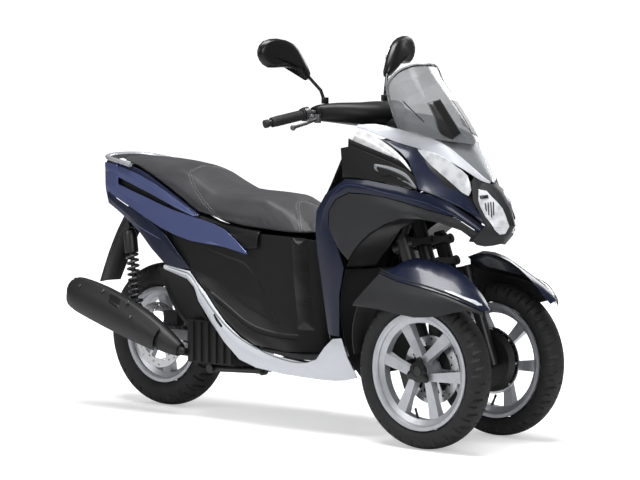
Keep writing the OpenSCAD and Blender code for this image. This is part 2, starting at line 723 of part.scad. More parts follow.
// Instrument housing behind the screen, with the stays that carry the screen
module dash() {
    color(black) {
        loft([for (p = [[30, 62, 962, 30], [90, 84, 985, 44], [160, 94, 1010, 44],
            [225, 84, 1026, 30], [262, 66, 1022, 18]])
            [for (c = [[1, -0.4], [0.85, 0.6], [0, 1], [-0.85, 0.6], [-1, -0.4], [-0.6, -1], [0.6, -1]])
                body([c[0] * p[1], p[0], p[2] + c[1] * p[3]])]], 2, 2);
    }
}

/* Leg shield */

band_outer = [[75, -145, 712], [150, -66, 786], [187, -14, 810], [206, 93, 833], [217, 215, 849],
    [221, 310, 850], [220, 396, 795], [217, 436, 740], [213, 445, 680], [208, 440, 600],
    [203, 428, 512], [198, 416, 420], [194, 404, 335]];
band_inner = [[95, -138, 692], [146, -84, 741], [187, -30, 758], [207, 85, 786], [219, 215, 804],
    [221, 295, 806], [220, 352, 782], [218, 384, 740], [216, 386, 690], [214, 352, 630],
    [214, 322, 560], [208, 346, 470], [198, 354, 332]];

module shield_bands() {
    color(blue) both() skin(body_net([band_inner, bulge(band_inner, band_outer, 5), band_outer]), 2, 1);
}

arch_edge = [[102, -116, 672], [134, -98, 698], [180, -50, 722], [207, 10, 734], [216, 81, 732],
    [219, 144, 712], [221, 205, 680], [220, 240, 654], [219, 266, 630], [218, 285, 608],
    [217, 300, 586]];
arch_outer = [[96, -139, 690], [146, -85, 739], [187, -32, 756], [207, 83, 784], [217, 150, 796],
    [221, 222, 803], [221, 294, 804], [220, 350, 781], [218, 382, 740], [216, 384, 690],
    [214, 353, 632]];

module arch_panels() {
    color(charcoal) both() skin(body_net([arch_edge, bulge(arch_edge, arch_outer, 4), arch_outer]), 2, 1);
}

leg_rows = [
    [[0, 402, 292], [110, 404, 288], [184, 400, 292]],
    [[0, 436, 400], [110, 432, 396], [190, 412, 388]],
    [[0, 452, 520], [112, 446, 516], [198, 424, 512]],
    [[0, 460, 640], [118, 452, 636], [204, 436, 610]],
    [[0, 456, 750], [118, 446, 750], [211, 430, 745]],
    [[0, 430, 840], [118, 416, 842], [214, 376, 830]],
    [[0, 372, 920], [112, 366, 925], [204, 326, 940]]];
leg_net = [for (row = leg_rows) concat(mirrored(flip(row)), [for (i = [1 : len(row) - 1]) row[i]])];

module leg_panel() {
    color(black) skin(body_net([for (row = leg_net) flip(row)]), 1, 2);
}

liner_rows = [
    [[0, 296, 204], [100, 298, 202], [164, 288, 202]],
    [[0, 318, 250], [100, 320, 248], [172, 322, 246]],
    [[0, 330, 330], [105, 338, 329], [184, 346, 330]],
    [[0, 325, 410], [105, 336, 410], [197, 350, 409]],
    [[0, 305, 488], [108, 318, 488], [202, 340, 487]],
    [[0, 282, 552], [108, 292, 553], [208, 317, 554]]];
liner_net = [for (row = liner_rows) concat(mirrored(flip(row)), [for (i = [1 : len(row) - 1]) row[i]])];
wing_rows = [
    [[84, 292, 560], [150, 300, 562], [210, 312, 564]],
    [[84, 252, 622], [150, 258, 628], [213, 268, 626]],
    [[84, 205, 676], [150, 206, 682], [215, 205, 676]],
    [[84, 146, 706], [150, 146, 712], [213, 146, 706]],
    [[84, 84, 724], [150, 84, 730], [210, 84, 727]]];

// Black inner walls behind and above the front wheels
module arch_liner() {
    color(black) {
        skin(body_net(liner_net), 1, 2);
        both() skin(body_net(wing_rows), 2, 1);
    }
}

/* Floor and sides */

sill_top = [[190, 352, 326], [192, 388, 322], [196, 422, 290], [200, 452, 250], [203, 497, 235],
    [205, 583, 243], [205, 695, 261], [205, 785, 297], [203, 855, 342], [200, 903, 386],
    [195, 954, 436], [190, 996, 467], [180, 1040, 502], [166, 1170, 516]];
sill_low = [[174, 296, 199], [178, 344, 186], [184, 385, 182], [188, 420, 181], [193, 480, 183],
    [200, 590, 187], [204, 715, 200], [205, 790, 222], [203, 860, 275], [196, 935, 345],
    [190, 990, 402], [186, 1012, 445], [181, 1052, 474], [166, 1172, 498]];

module sill_panels() {
    color(silver) both() skin(body_net([sill_low, bulge(sill_low, sill_top, 9), sill_top]), 2, 1);
}

floor_rows = [
    leg_rows[0],
    [[0, 430, 262], [105, 432, 260], [188, 436, 262]],
    [[0, 520, 256], [105, 520, 250], [193, 520, 240]],
    [[0, 620, 260], [105, 620, 252], [194, 620, 249]],
    [[0, 720, 280], [105, 720, 262], [192, 712, 262]]];
floor_net = [for (row = floor_rows) concat(mirrored(flip(row)), [for (i = [1 : len(row) - 1]) row[i]])];

module floorboard() {
    color(charcoal) skin(body_net([for (row = floor_net) flip(row)]), 2, 1, 4);
}

cover_rows = [
    [[90, 482, 262], [118, 500, 262], [160, 620, 256], [199, 730, 276], [199, 790, 304],
        [198, 858, 348], [195, 906, 392], [190, 957, 442], [184, 1000, 474], [174, 1042, 506], [160, 1168, 520]],
    [[92, 486, 300], [118, 504, 298], [152, 640, 292], [178, 740, 300], [184, 800, 326],
        [184, 866, 370], [182, 915, 414], [180, 966, 464], [176, 1010, 500], [168, 1060, 540], [158, 1165, 560]],
    [[94, 500, 430], [114, 520, 430], [140, 650, 428], [156, 750, 430], [166, 820, 440],
        [171, 880, 466], [172, 930, 500], [171, 985, 540], [168, 1040, 576], [163, 1090, 600], [156, 1160, 612]],
    [[92, 512, 560], [112, 536, 560], [140, 650, 560], [156, 750, 562], [164, 830, 572],
        [168, 890, 588], [169, 945, 604], [168, 1000, 622], [165, 1050, 640], [160, 1100, 660], [154, 1160, 676]],
    [[88, 516, 629], [112, 540, 631], [136, 640, 638], [153, 755, 644], [161, 820, 652],
        [165, 900, 664], [166, 960, 674], [165, 1014, 678], [162, 1050, 690], [154, 1126, 728], [149, 1160, 742]]];

module side_covers() {
    color(charcoal) {
        both() skin(body_net(cover_rows), 1, 1);
        skin(body_net([for (row = cover_rows) let (x = row[0][0], y = row[0][1], z = row[0][2])
            [[x - 2, y - 2, z], [0, y - 12, z + 2], [2 - x, y - 2, z]]]), 1, 3);
    }
}

/* Tail */

side_ridge = [[182, 775, 576], [182, 898, 598], [175, 1045, 636], [163, 1198, 686], [143, 1362, 733], [122, 1470, 762], [116, 1506, 780]];
side_top = [[179, 782, 584], [175, 884, 652], [170, 998, 680], [162, 1142, 706], [146, 1285, 742], [120, 1440, 778], [112, 1508, 806]];
side_inner = [[182, 775, 574], [181, 902, 596], [176, 1040, 604], [166, 1190, 640], [146, 1350, 700], [122, 1460, 736], [116, 1500, 760]];

lower_top = [[176, 1160, 618], [164, 1226, 648], [150, 1336, 692], [127, 1448, 730], [115, 1498, 755]];
lower_foot = [[181, 1036, 508], [171, 1170, 520], [152, 1300, 613], [130, 1408, 671], [117, 1490, 708]];

// Painted panels below the tail, from the side covers to the rear lamp
module tail_lowers() {
    color(blue) both() skin(body_net([lower_foot, bulge(lower_foot, lower_top, 3), lower_top]), 1, 2);
}

module tail_sides() {
    color(blue) both() skin(body_net([side_inner, side_ridge, side_top]), 1, 2);
}

fin_low = [[169, 1030, 688], [163, 1110, 708], [150, 1250, 752], [128, 1400, 792], [112, 1508, 822]];
fin_high = [[168, 1016, 692], [160, 1110, 736], [146, 1244, 792], [126, 1400, 836], [108, 1518, 850]];

module tail_fins() {
    color(blue) both() skin(body_net([fin_low, bulge(fin_low, fin_high, 3), fin_high]), 1, 2);
}

core_rows = [
    [[152, 1172, 640], [138, 1290, 690], [116, 1410, 728], [104, 1492, 752]],
    [[148, 1172, 750], [130, 1290, 786], [112, 1410, 804], [98, 1500, 816]]];

floor_line = [[84, 1186, 530], [84, 1300, 612], [84, 1443, 689]];
floor_middle = [[0, 1186, 536], [0, 1300, 620], [0, 1474.6, 700]];

// Black parts in the slots between the fins, and the panel under the tail
module tail_core() {
    color(black) {
        both() skin(body_net(core_rows), 1, 2);
        skin(body_net([mirrored(floor_line), floor_middle, floor_line]), 2, 2);
    }
}

module tail_lamp() {
    color("maroon") loft([for (p = [[1484.6, 0.94], [1500, 1.0], [1512, 0.9]])
        [for (c = [[97.2, 800], [60, 812], [0, 816], [-60, 812], [-97.2, 800], [-60, 776], [0, 770], [60, 776]])
            body([c[0] * p[1], p[0], 793 + (c[1] - 793) * p[1]])]], 2, 1);
}

rail_half = [[134, 1366, 848], [126, 1420, 856], [114, 1484, 865], [92, 1520, 870], [50, 1536, 873], [0, 1540, 874]];

module grab_rail() {
    path = smooth_row([for (p = concat(rail_half, mirrored([for (i = [4 : -1 : 0]) rail_half[i]]))) body(p)], 2);
    last = len(path) - 1;
    color(silver) loft([for (i = [0 : last])
        let (run = path[min(i + 1, last)] - path[max(i - 1, 0)], side = unit([run[1], -run[0], 0]))
            [for (k = [0 : 7]) path[i] + side * 9 * cos(45 * k) + [0, 0, 8 * sin(45 * k)]]], 1, 1);
}

// Rear splash guard that also holds the plate
fender_rows = [
    [[-60, 1450, 690], [0, 1475, 700], [60, 1450, 690]],
    [[-60, 1505, 610], [0, 1530, 622], [60, 1505, 610]],
    [[-58, 1555, 520], [0, 1574, 528], [58, 1555, 520]],
    [[-52, 1604, 420], [0, 1614, 420], [52, 1604, 420]]];

module rear_fender() {
    color(black) skin(body_net([for (row = flip(fender_rows)) flip(row)]), 2, 2, 4);
}

// Curved guard in front of the rear wheel, on top of the engine block
module wheel_guard() {
    r = rear_tyre_r + 40;
    arc = [for (a = [26 : 12 : 74]) [-r * cos(a), r * sin(a)]];
    color(black) {
        skin([for (x = [72, 0, -72]) [for (p = arc) [x, rear_y + p[0], rear_tyre_r + p[1]]]], 2, 2, 3, 0);
        for (x = [-60, 48]) translate([x, rear_y - 300, 376.3]) cube([12, 44, 22]);
    }
}

module luggage_bin() {
    color(black) {
        x = 110;
        translate(body([0, 600, 470])) difference() {
            translate([-x, 0, 0]) cube([2 * x, 380, 168]);
            translate([3 - x, 3, 3]) cube([2 * x - 6, 374, 200]);
        }
        // Ears and pin of the seat hinge
        translate(body([0, seat_pin_y, seat_pin_z])) {
            axle_bar(-40, 40, seat_pin_d);
            both() translate([32.5, -6, -24]) cube([8, 39.5 * long, 29]);
        }
    }
}

/* Power unit */

module engine() {
    color("dimgray") {
        // Engine block with its fins facing forward
        translate([-70, rear_y - 430, 196]) cube([140, 168, 180]);
        // Drive case that reaches back to the rear axle on the left
        difference() {
            union() {
                translate([66, rear_y - 300, 205]) cube([66, 250, 115]);
                translate([0, rear_y, rear_tyre_r]) axle_bar(66, 132, 150);
                translate([0, rear_y - 290, 275]) axle_bar(66, 132, 156);
            }
            translate([0, rear_y, rear_tyre_r]) axle_bar(60, 80, 60);
        }
        translate([0, rear_y, rear_tyre_r]) axle_bar(50, 90, 40);
        translate([0, rear_y, rear_tyre_r]) axle_bar(-100, 70, spindle_d);
        // Swing arm on the right
        translate([-104, rear_y - 260, 250]) cube([20, 262, 34]);
        translate([0, rear_y, rear_tyre_r]) axle_bar(-104, -84, 60);
        translate([-104, rear_y - 300, 235]) cube([38, 80, 60]);
    }
}

module radiator_cover() {
    color(black) {
        difference() {
            translate([-188, rear_y - 480, 192]) cube([76, 214, 146]);
            translate([-180, rear_y - 472, 200]) cube([70, 198, 130]);
        }
        for (k = [0 : 5]) translate([-195, rear_y - 474 + 35 * k, 197]) cube([7 + eps, 12, 136]);
    }
}

muffler_front = [-195, rear_y - 238, 230];
muffler_back = [-205, rear_y + 275, 410];

// Silencer, a lofted shell of oval section that rises to the rear
module muffler() {
    d = (muffler_back - muffler_front) / norm(muffler_back - muffler_front);
    up = [0, -d[2], d[1]];
    pipe = [muffler_front + d * 1.5, muffler_front - d * 12,
        [-91, rear_y - 248, 208], [-91, rear_y - 282, 212], [-70.3, rear_y - 282, 212]];
    color(black) {
        difference() {
            silencer_body(0, d, up);
            silencer_body(3, d, up);
        }
        for (i = [0 : 3]) rod(pipe[i], pipe[i + 1], 28);
        for (i = [1 : 3]) knuckle(pipe[i], 28);
    }
}

module silencer_body(wall, d, up) {
    length = norm(muffler_back - muffler_front);
    loft([for (s = [[0, 22, 24, 0], [0.10, 32, 38, 2], [0.30, 44, 56, 8], [0.60, 50, 66, 8],
        [0.85, 50, 62, 2], [0.96, 40, 50, 0], [1, 28, 34, 0]])
        let (run = min(max(s[0] * length, wall), length - wall))
            [for (k = [0 : 11]) let (a = 30 * k)
                muffler_front + d * run + up * s[3]
                + [1, 0, 0] * (s[1] - wall) * cos(a) + up * (s[2] - wall) * sin(a)]], 1, 2);
}

module heat_shield() {
    d = (muffler_back - muffler_front) / norm(muffler_back - muffler_front);
    up = [0, -d[2], d[1]];
    color(black) {
        skin([for (k = [0 : 5]) let (a = 128 + 22 * k)
            [for (s = [[0.16, 46, 50, 3], [0.35, 54, 66, 8], [0.6, 57, 74, 8], [0.86, 57, 70, 2],
                [0.95, 50, 60, 0]])
                muffler_front + (muffler_back - muffler_front) * s[0] + up * s[3]
                + [1, 0, 0] * s[1] * cos(a) - up * s[2] * sin(a)]], 1, 2, 3, 0);
        // Bosses that hold the shield off the silencer
        for (s = [0.35, 0.8]) let (p = muffler_front + (muffler_back - muffler_front) * s + up * 6)
            difference() {
                rod(p, p - [56, 0, 0], 16);
                muffler();
            }
    }
}

shock_x = 122;
shock_top = [shock_x, rear_y + 74, 632];
shock_low = [shock_x, rear_y + 40, 350];

module rear_shocks() {
    color("dimgray") both() {
        d = (shock_top - shock_low) / norm(shock_top - shock_low);
        rod(shock_low, shock_top, 16);
        rod(shock_low + d * 18, shock_low + d * 30, 50);
        rod(shock_top - d * 90, shock_top - d * 12, 48);
        for (k = [0 : 7]) rod(shock_low + d * (38 + 18 * k), shock_low + d * (46 + 18 * k), 46);
        translate([0, shock_low[1], shock_low[2]]) axle_bar(shock_x - 16, shock_x + 16, 28);
        translate([0, shock_top[1], shock_top[2]]) axle_bar(shock_x - 16, shock_x + 16, 28);
    }
}

module rear_caliper() {
    color(black) difference() {
        translate([-rear_disc_x - 27, rear_y - 112, rear_tyre_r + 40]) cube([36, 64, 52]);
        translate([-rear_disc_x, rear_y, rear_tyre_r])
            axle_bar(-disc_t / 2 - 1, disc_t / 2 + 1, rear_disc_d + 4);
    }
}

/* Mudguards */

guard_inner = [[142, 92, 586], [142, 40, 600], [142, -40, 594], [142, -120, 560], [144, -192, 502], [153, -238, 452]];
guard_crest = [[200, 128, 572], [196, 58, 603], [184, -30, 592], [176, -110, 556], [180, -198, 500], [176, -244, 462]];
guard_low = [[238, 152, 560], [254, 72, 540], [259, -34, 525], [252, -136, 505], [228, -198, 481], [191, -237, 457]];
skirt_top = [[240, 150, 555], [255, 70, 536], [260, -34, 521], [253, -134, 501], [229, -196, 477], [193, -234, 453]];
skirt_mid = [[250, 244, 462], [266, 120, 482], [272, -4, 496], [264, -118, 494], [238, -198, 470], [197, -237, 447]];
skirt_low = [[248, 255, 444], [264, 130, 442], [274, -20, 428], [264, -128, 442], [234, -202, 460], [192, -240, 440]];

module guard(side) {
    scale_side(side) color(blue)
        skin([for (row = [guard_low, guard_crest, guard_inner]) flip_y(row)], 2, 2);
}
flap_rows = [
    [[236, 260, 286], [195, 262, 286], [154, 260, 286]],
    [[241, 264, 345], [195, 266, 345], [150, 263, 345]],
    [[246, 250, 412], [196, 252, 412], [148, 249, 412]],
    [[246, 218, 476], [196, 220, 476], [146, 216, 476]],
    [[238, 152, 543], [194, 156, 545], [144, 150, 543]]];

// Dark skirt outside the wheel, with the flap behind it
module skirt(side) {
    scale_side(side) color(charcoal) {
        skin([for (row = [skirt_low, skirt_mid, skirt_top]) flip_y(row)], 2, 2);
        skin([for (row = flap_rows) [for (p = row) [p[0], front_y + p[1], p[2]]]], 2, 2, panel_t, 0);
    }
}
function flip_y(row) = [for (p = flip(row)) [p[0], front_y + p[1], p[2]]];

module mudguard_right() guard(-1);
module mudguard_left() guard(1);
module skirt_right() skirt(-1);
module skirt_left() skirt(1);

/* Seat and stand */

seat_stations = [
    [542, 666, 52, 84, 652], [560, 676, 72, 108, 648], [600, 692, 90, 126, 647],
    [670, 740, 104, 140, 651], [742, 772, 112, 152, 657], [830, 778, 118, 160, 664],
    [900, 778, 120, 166, 676], [970, 784, 114, 161, 690], [1040, 814, 110, 158, 702],
    [1102, 842, 104, 151, 736], [1170, 856, 98, 146, 770], [1260, 866, 88, 134, 808],
    [1360, 872, 76, 112, 840], [1470, 873, 56, 80, 858], [1492, 869, 44, 62, 861]];

module seat() {
    color([0.25, 0.25, 0.27]) loft([for (s = seat_stations)
        [for (c = [[1, 0.0], [1.02, 0.36], [s[2] / s[3] * 1.1, 0.86], [0, 1], [-s[2] / s[3] * 1.1, 0.86],
            [-1.02, 0.36], [-1, 0.0], [-0.8, -0.04], [0, -0.04], [0.8, -0.04]])
            body([c[0] * s[3], s[0], s[4] + c[1] * (s[1] - s[4])])]], 1, 1);
}

// Plate and barrel under the front of the seat
module seat_hinge() {
    color(black) translate(body([0, seat_pin_y, seat_pin_z])) difference() {
        union() {
            axle_bar(-32, 32, seat_pin_d + 7);
            translate([-32, -7.5, 0]) cube([64, 34, 9]);
        }
        axle_bar(-40, 40, seat_pin_d + 2 * stem_gap);
        translate([-33, 7.5, -1]) cube([66, 30, 7]);
    }
}

module centre_stand() {
    color(black) {
        pivot = [0, rear_y - stand_y, stand_z];
        translate(pivot) axle_bar(-95, 95, stand_d);
        both() {
            rod(pivot + [85, 0, 0], pivot + [110, stand_len, -6], stand_d);
            knuckle(pivot + [85, 0, 0], stand_d);
            translate(pivot + [110, stand_len, -6]) axle_bar(-24, 24, 30);
        }
        translate(pivot + [0, stand_len * 0.6, -3.6]) axle_bar(-100, 100, 18);
    }
}

frame();
lean_arms();
side_pivots();
arch_liner();
nose_sides();
nose_bands();
nose_centre();
nose_beak();
headlamps();
light_strips();
indicators();
windscreen();
dash();
vent_panels();
shield_bands();
arch_panels();
leg_panel();
floorboard();
sill_panels();
side_covers();
tail_sides();
tail_fins();
tail_lowers();
tail_core();
tail_lamp();
grab_rail();
rear_fender();
wheel_guard();
luggage_bin();
engine();
radiator_cover();
muffler();
heat_shield();
rear_shocks();
rear_caliper();
handlebar();
bar_cover();
grips();
levers();
mirrors();
tie_rod();
fork_right();
fork_left();
mudguard_right();
mudguard_left();
skirt_right();
skirt_left();
rim_right();
rim_left();
rim_rear();
tyre_right();
tyre_left();
tyre_rear();
disc_right();
disc_left();
disc_rear();
seat();
seat_hinge();
centre_stand();
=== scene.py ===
import math
import random

import bmesh
import bpy
import mathutils.kdtree
from mathutils import Matrix, Vector
from mathutils.bvhtree import BVHTree


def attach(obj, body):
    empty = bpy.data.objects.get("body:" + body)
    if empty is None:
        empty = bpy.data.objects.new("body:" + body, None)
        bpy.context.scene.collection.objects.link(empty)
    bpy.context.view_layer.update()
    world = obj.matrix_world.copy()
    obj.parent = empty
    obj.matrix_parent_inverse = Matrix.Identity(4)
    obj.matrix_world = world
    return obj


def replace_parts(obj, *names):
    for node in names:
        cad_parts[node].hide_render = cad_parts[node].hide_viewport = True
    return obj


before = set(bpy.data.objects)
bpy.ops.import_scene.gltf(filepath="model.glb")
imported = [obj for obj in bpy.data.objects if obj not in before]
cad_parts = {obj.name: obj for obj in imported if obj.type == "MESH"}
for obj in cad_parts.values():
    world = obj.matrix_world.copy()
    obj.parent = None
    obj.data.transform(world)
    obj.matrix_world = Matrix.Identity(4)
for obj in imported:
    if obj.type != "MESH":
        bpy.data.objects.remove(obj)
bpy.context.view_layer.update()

# The camera: a long lens about ten metres away, level with the handlebar,
# looking at the right front corner of the scooter.
camera_lens = bpy.data.cameras.new("camera")
camera_lens.lens = 165.9
camera_lens.sensor_width = 36.0
camera_lens.clip_end = 600.0
camera = bpy.data.objects.new("camera", camera_lens)
camera.location = (-7.4339, -6.5308, 1.4731)
camera.rotation_euler = (math.radians(90 - 4.95), 0, math.radians(-49.02))
bpy.context.scene.collection.objects.link(camera)
bpy.context.scene.camera = camera
bpy.context.scene.view_settings.view_transform = "Standard"


# The studio: a white floor that runs on to the horizon under soft lamps. It is
# lifted to white for the camera, most of all far away, and keeps its shadow.
class Flow:
    """One socket of a material's nodes, so that shader maths reads as plain sums."""

    def __init__(self, tree, socket=None):
        self.tree = tree
        self.socket = socket

    def node(self, kind, settings=None, inputs=None, out=0):
        made = self.tree.nodes.new(kind)
        for name, value in (settings or {}).items():
            if name == "stops":
                while len(made.color_ramp.elements) < len(value):
                    made.color_ramp.elements.new(0.5)
                for stop, (place, colour) in zip(made.color_ramp.elements, value):
                    stop.position = place
                    stop.color = colour
            else:
                setattr(made, name, value)
        for name, value in (inputs or {}).items():
            if isinstance(value, Flow):
                self.tree.links.new(value.socket, made.inputs[name])
            else:
                made.inputs[name].default_value = value
        return Flow(self.tree, made.outputs[out]) if made.outputs else None

    def maths(self, operation, *values):
        return self.node("ShaderNodeMath", {"operation": operation}, dict(enumerate(values)))

    def __add__(self, other):
        return self.maths("ADD", self, other)

    def __sub__(self, other):
        return self.maths("SUBTRACT", self, other)

    def __mul__(self, other):
        return self.maths("MULTIPLY", self, other)

    def __truediv__(self, other):
        return self.maths("DIVIDE", self, other)

    def __rsub__(self, other):
        return self.maths("SUBTRACT", other, self)

    def __pow__(self, other):
        return self.maths("POWER", self, other)

    __radd__ = __add__
    __rmul__ = __mul__


def studio_surface(name, colour, near_lift, far_lift):
    made = bpy.data.materials.new(name)
    made.use_nodes = True
    tree = made.node_tree
    tree.nodes.clear()
    flow = Flow(tree)
    seen = (flow.node("ShaderNodeLightPath", out="Is Camera Ray")
            + flow.node("ShaderNodeLightPath", out="Is Transmission Ray"))
    place = flow.node("ShaderNodeTexCoord", out="Object")
    away = flow.node("ShaderNodeVectorMath", {"operation": "LENGTH"}, {0: place}, out="Value")
    spread = flow.node("ShaderNodeMapRange", inputs={"Value": away, "From Min": 1.3, "From Max": 4.0})
    glow_colour = flow.node("ShaderNodeMix", {"data_type": "RGBA"}, {
        0: spread, 6: (near_lift,) * 3 + (1,), 7: (far_lift,) * 3 + (1,)}, out=2)
    dark = flow.node("ShaderNodeMix", {"data_type": "RGBA"}, {
        0: seen.maths("MINIMUM", seen, 1.0), 6: (0, 0, 0, 1), 7: glow_colour}, out=2)
    diffuse = flow.node("ShaderNodeBsdfDiffuse", inputs={"Color": colour})
    glow = flow.node("ShaderNodeEmission", inputs={"Color": dark, "Strength": 1.0})
    both = flow.node("ShaderNodeAddShader", inputs={0: diffuse, 1: glow})
    flow.node("ShaderNodeOutputMaterial", inputs={"Surface": both})
    return made


def sheet_object(name, size, centre, material):
    bm = bmesh.new()
    bmesh.ops.create_grid(bm, x_segments=1, y_segments=1, size=size / 2)
    bmesh.ops.translate(bm, verts=bm.verts, vec=centre)
    mesh = bpy.data.meshes.new(name)
    bm.to_mesh(mesh)
    bm.free()
    made = bpy.data.objects.new(name, mesh)
    made.data.materials.append(material)
    bpy.context.scene.collection.objects.link(made)
    return made


floor = sheet_object("floor", 900.0, (0, 0, 0), studio_surface("floor white", (0.80, 0.80, 0.81, 1), 0.42, 0.95))

world = bpy.data.worlds.new("studio")
world.use_nodes = True
world.node_tree.nodes.clear()
sky = Flow(world.node_tree)
sky_seen = (sky.node("ShaderNodeLightPath", out="Is Camera Ray")
            + sky.node("ShaderNodeLightPath", out="Is Transmission Ray"))
sky_light = sky.node("ShaderNodeBackground", inputs={
    "Color": (1, 1, 1, 1), "Strength": sky.maths("MINIMUM", 0.24 + sky_seen * 0.76, 1.0)})
sky.node("ShaderNodeOutputWorld", inputs={"Surface": sky_light})
bpy.context.scene.world = world


def soft_lamp(name, place, aim, size, power):
    lamp = bpy.data.lights.new(name, "AREA")
    lamp.shape = "RECTANGLE"
    lamp.size, lamp.size_y = size
    lamp.energy = power
    made = bpy.data.objects.new(name, lamp)
    made.location = place
    made.rotation_euler = (Vector(aim) - Vector(place)).to_track_quat("-Z", "Y").to_euler()
    bpy.context.scene.collection.objects.link(made)


soft_lamp("lamp above", (-0.4, -0.3, 4.0), (0, 0, 0.5), (2.6, 1.8), 220)
soft_lamp("lamp front", (-2.4, -4.6, 2.6), (0, -0.3, 0.6), (2.0, 1.4), 60)
soft_lamp("lamp right", (-4.6, 1.6, 2.8), (0, 0.2, 0.6), (2.2, 1.4), 60)
soft_lamp("lamp left", (4.4, 0.4, 2.6), (0, 0, 0.6), (2.4, 1.8), 60)


# Painted panels: injection moulded shells, sprayed deep blue, pale silver or grey under a clear coat.
# The paler blue of the fins is painted highlight on the deep blue, and the grey of the nose centre is
# painted shade on the silver. They butt against each other with a fine dark seam.
def material(name, constants):
    made = bpy.data.materials.new(name)
    made.use_nodes = True
    shader = made.node_tree.nodes["Principled BSDF"]
    for socket, value in constants.items():
        shader.inputs[socket].default_value = value
    return made, Flow(made.node_tree), shader


def feed(flow, shader, socket):
    flow.tree.links.new(flow.socket, shader.inputs[socket])


def noise(flow, scale, detail=2.0, rough=0.5):
    place = flow.node("ShaderNodeTexCoord", out="Object")
    return flow.node("ShaderNodeTexNoise", inputs={
        "Vector": place, "Scale": scale, "Detail": detail, "Roughness": rough})


def tinted(flow, factor, dark, light):
    return flow.node("ShaderNodeMix", {"data_type": "RGBA"}, {
        0: factor, 6: (*dark, 1), 7: (*light, 1)}, out=2)


def bumped(flow, height, strength, depth):
    return flow.node("ShaderNodeBump", inputs={
        "Height": height, "Strength": strength, "Distance": depth}, out="Normal")


def paint(name, colour, flake, roughness=0.30, coat=0.6, metallic=0.0, gloss=0.5):
    made, flow, shader = material(name, {
        "Coat Weight": coat, "Coat Roughness": 0.06, "Metallic": metallic, "Specular IOR Level": gloss})
    fleck = noise(flow, 2600.0, 0.0)
    soft = noise(flow, 3.0)
    spread = (fleck - 0.5) * 1.6 + 0.5 + (soft - 0.5) * 0.3
    feed(tinted(flow, spread, [c * (1 - flake) for c in colour],
                [min(1, c * (1 + flake) + flake * 0.02) for c in colour]), shader, "Base Color")
    feed(roughness - 0.03 + noise(flow, 14.0) * 0.06, shader, "Roughness")
    feed(bumped(flow, noise(flow, 420.0, 1.0), 0.04, 0.0004), shader, "Normal")
    return made


def collected(name, bm, finish, body, smooth_angle=None):
    mesh = bpy.data.meshes.new(name)
    bm.to_mesh(mesh)
    bm.free()
    made = bpy.data.objects.new(name, mesh)
    mesh.materials.append(finish)
    bpy.context.scene.collection.objects.link(made)
    if smooth_angle is not None:
        mesh.shade_smooth()
        mesh.set_sharp_from_angle(angle=math.radians(smooth_angle))
    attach(made, body)
    return made


def merged_copy(node):
    bm = bmesh.new()
    bm.from_mesh(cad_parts[node].data)
    bmesh.ops.remove_doubles(bm, verts=bm.verts, dist=0.00003)
    return bm


def moulded(node, finish, body, angle=32, edge=0.0007):
    made = collected(node + ".moulded", merged_copy(node), finish, body, angle)
    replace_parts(made, node)
    if edge:
        bevel = made.modifiers.new("edge", "BEVEL")
        bevel.width = edge
        bevel.segments = 2
        bevel.limit_method = "ANGLE"
        bevel.angle_limit = math.radians(45)
    return made


def dress(node, finish):
    cad_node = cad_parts[node]
    for index in range(len(cad_node.data.materials)):
        cad_node.data.materials[index] = finish


blue_paint = paint("blue paint", (0.004, 0.007, 0.024), 0.35, 0.26, 0.22, 0.06, 0.22)
# Fin blue: a paler copy of the deep blue, painted highlight for the upward faces of the fins.
fin_highlight_paint = paint("fin paint with painted highlight", (0.095, 0.118, 0.27), 0.20, 0.30, 0.3, 0.6, 0.3)
silver_paint = paint("silver paint", (0.56, 0.58, 0.62), 0.05, 0.38, 0.4, 0.15)
# Grey: painted shade of the silver on the nose centre, also used for the sill edge strip and vent frame.
grey_paint_and_shade = paint("grey paint and painted shade", (0.19, 0.20, 0.21), 0.10, 0.42, 0.1, 0.3)
for node in ("nose_sides", "shield_bands", "tail_lowers"):
    moulded(node, blue_paint, "chassis")
moulded("mudguard_right", blue_paint, "fork_right")
moulded("mudguard_left", blue_paint, "fork_left")
moulded("tail_fins", fin_highlight_paint, "chassis")
moulded("tail_sides", fin_highlight_paint, "chassis")
moulded("nose_bands", silver_paint, "chassis")
moulded("sill_panels", silver_paint, "chassis")
# The nose centre is part of the silver panel; its grey is painted shade.
moulded("nose_centre", grey_paint_and_shade, "chassis")


# Trim on the painted panels: thin inlays and edge strips that lie on a panel's skin, with their rims let into it.
# The thin blue lines on the tail and the shield are painted highlights. Sizes in millimetres, right side first.
def surface_of(node):
    bm = merged_copy(node)
    skin = BVHTree.FromBMesh(bm)
    bm.free()
    return skin


def even_path(points, count):
    ends = [Vector(p) / 1000 for p in points]
    ends = [ends[0] * 2 - ends[1]] + ends + [ends[-1] * 2 - ends[-2]]
    fine = []
    for a, b, c, d in zip(ends, ends[1:], ends[2:], ends[3:]):
        for k in range(16):
            t = k / 16
            fine.append(0.5 * (2 * b + (c - a) * t + (2 * a - 5 * b + 4 * c - d) * t ** 2
                               + (3 * b - a - 3 * c + d) * t ** 3))
    fine.append(ends[-2])
    run = [0.0]
    for a, b in zip(fine, fine[1:]):
        run.append(run[-1] + (b - a).length)
    made = []
    at = 0
    for k in range(count + 1):
        want = run[-1] * k / count
        while at < len(run) - 2 and run[at + 1] < want:
            at += 1
        made.append(fine[at].lerp(fine[at + 1], (want - run[at]) / max(1e-9, run[at + 1] - run[at])))
    return made


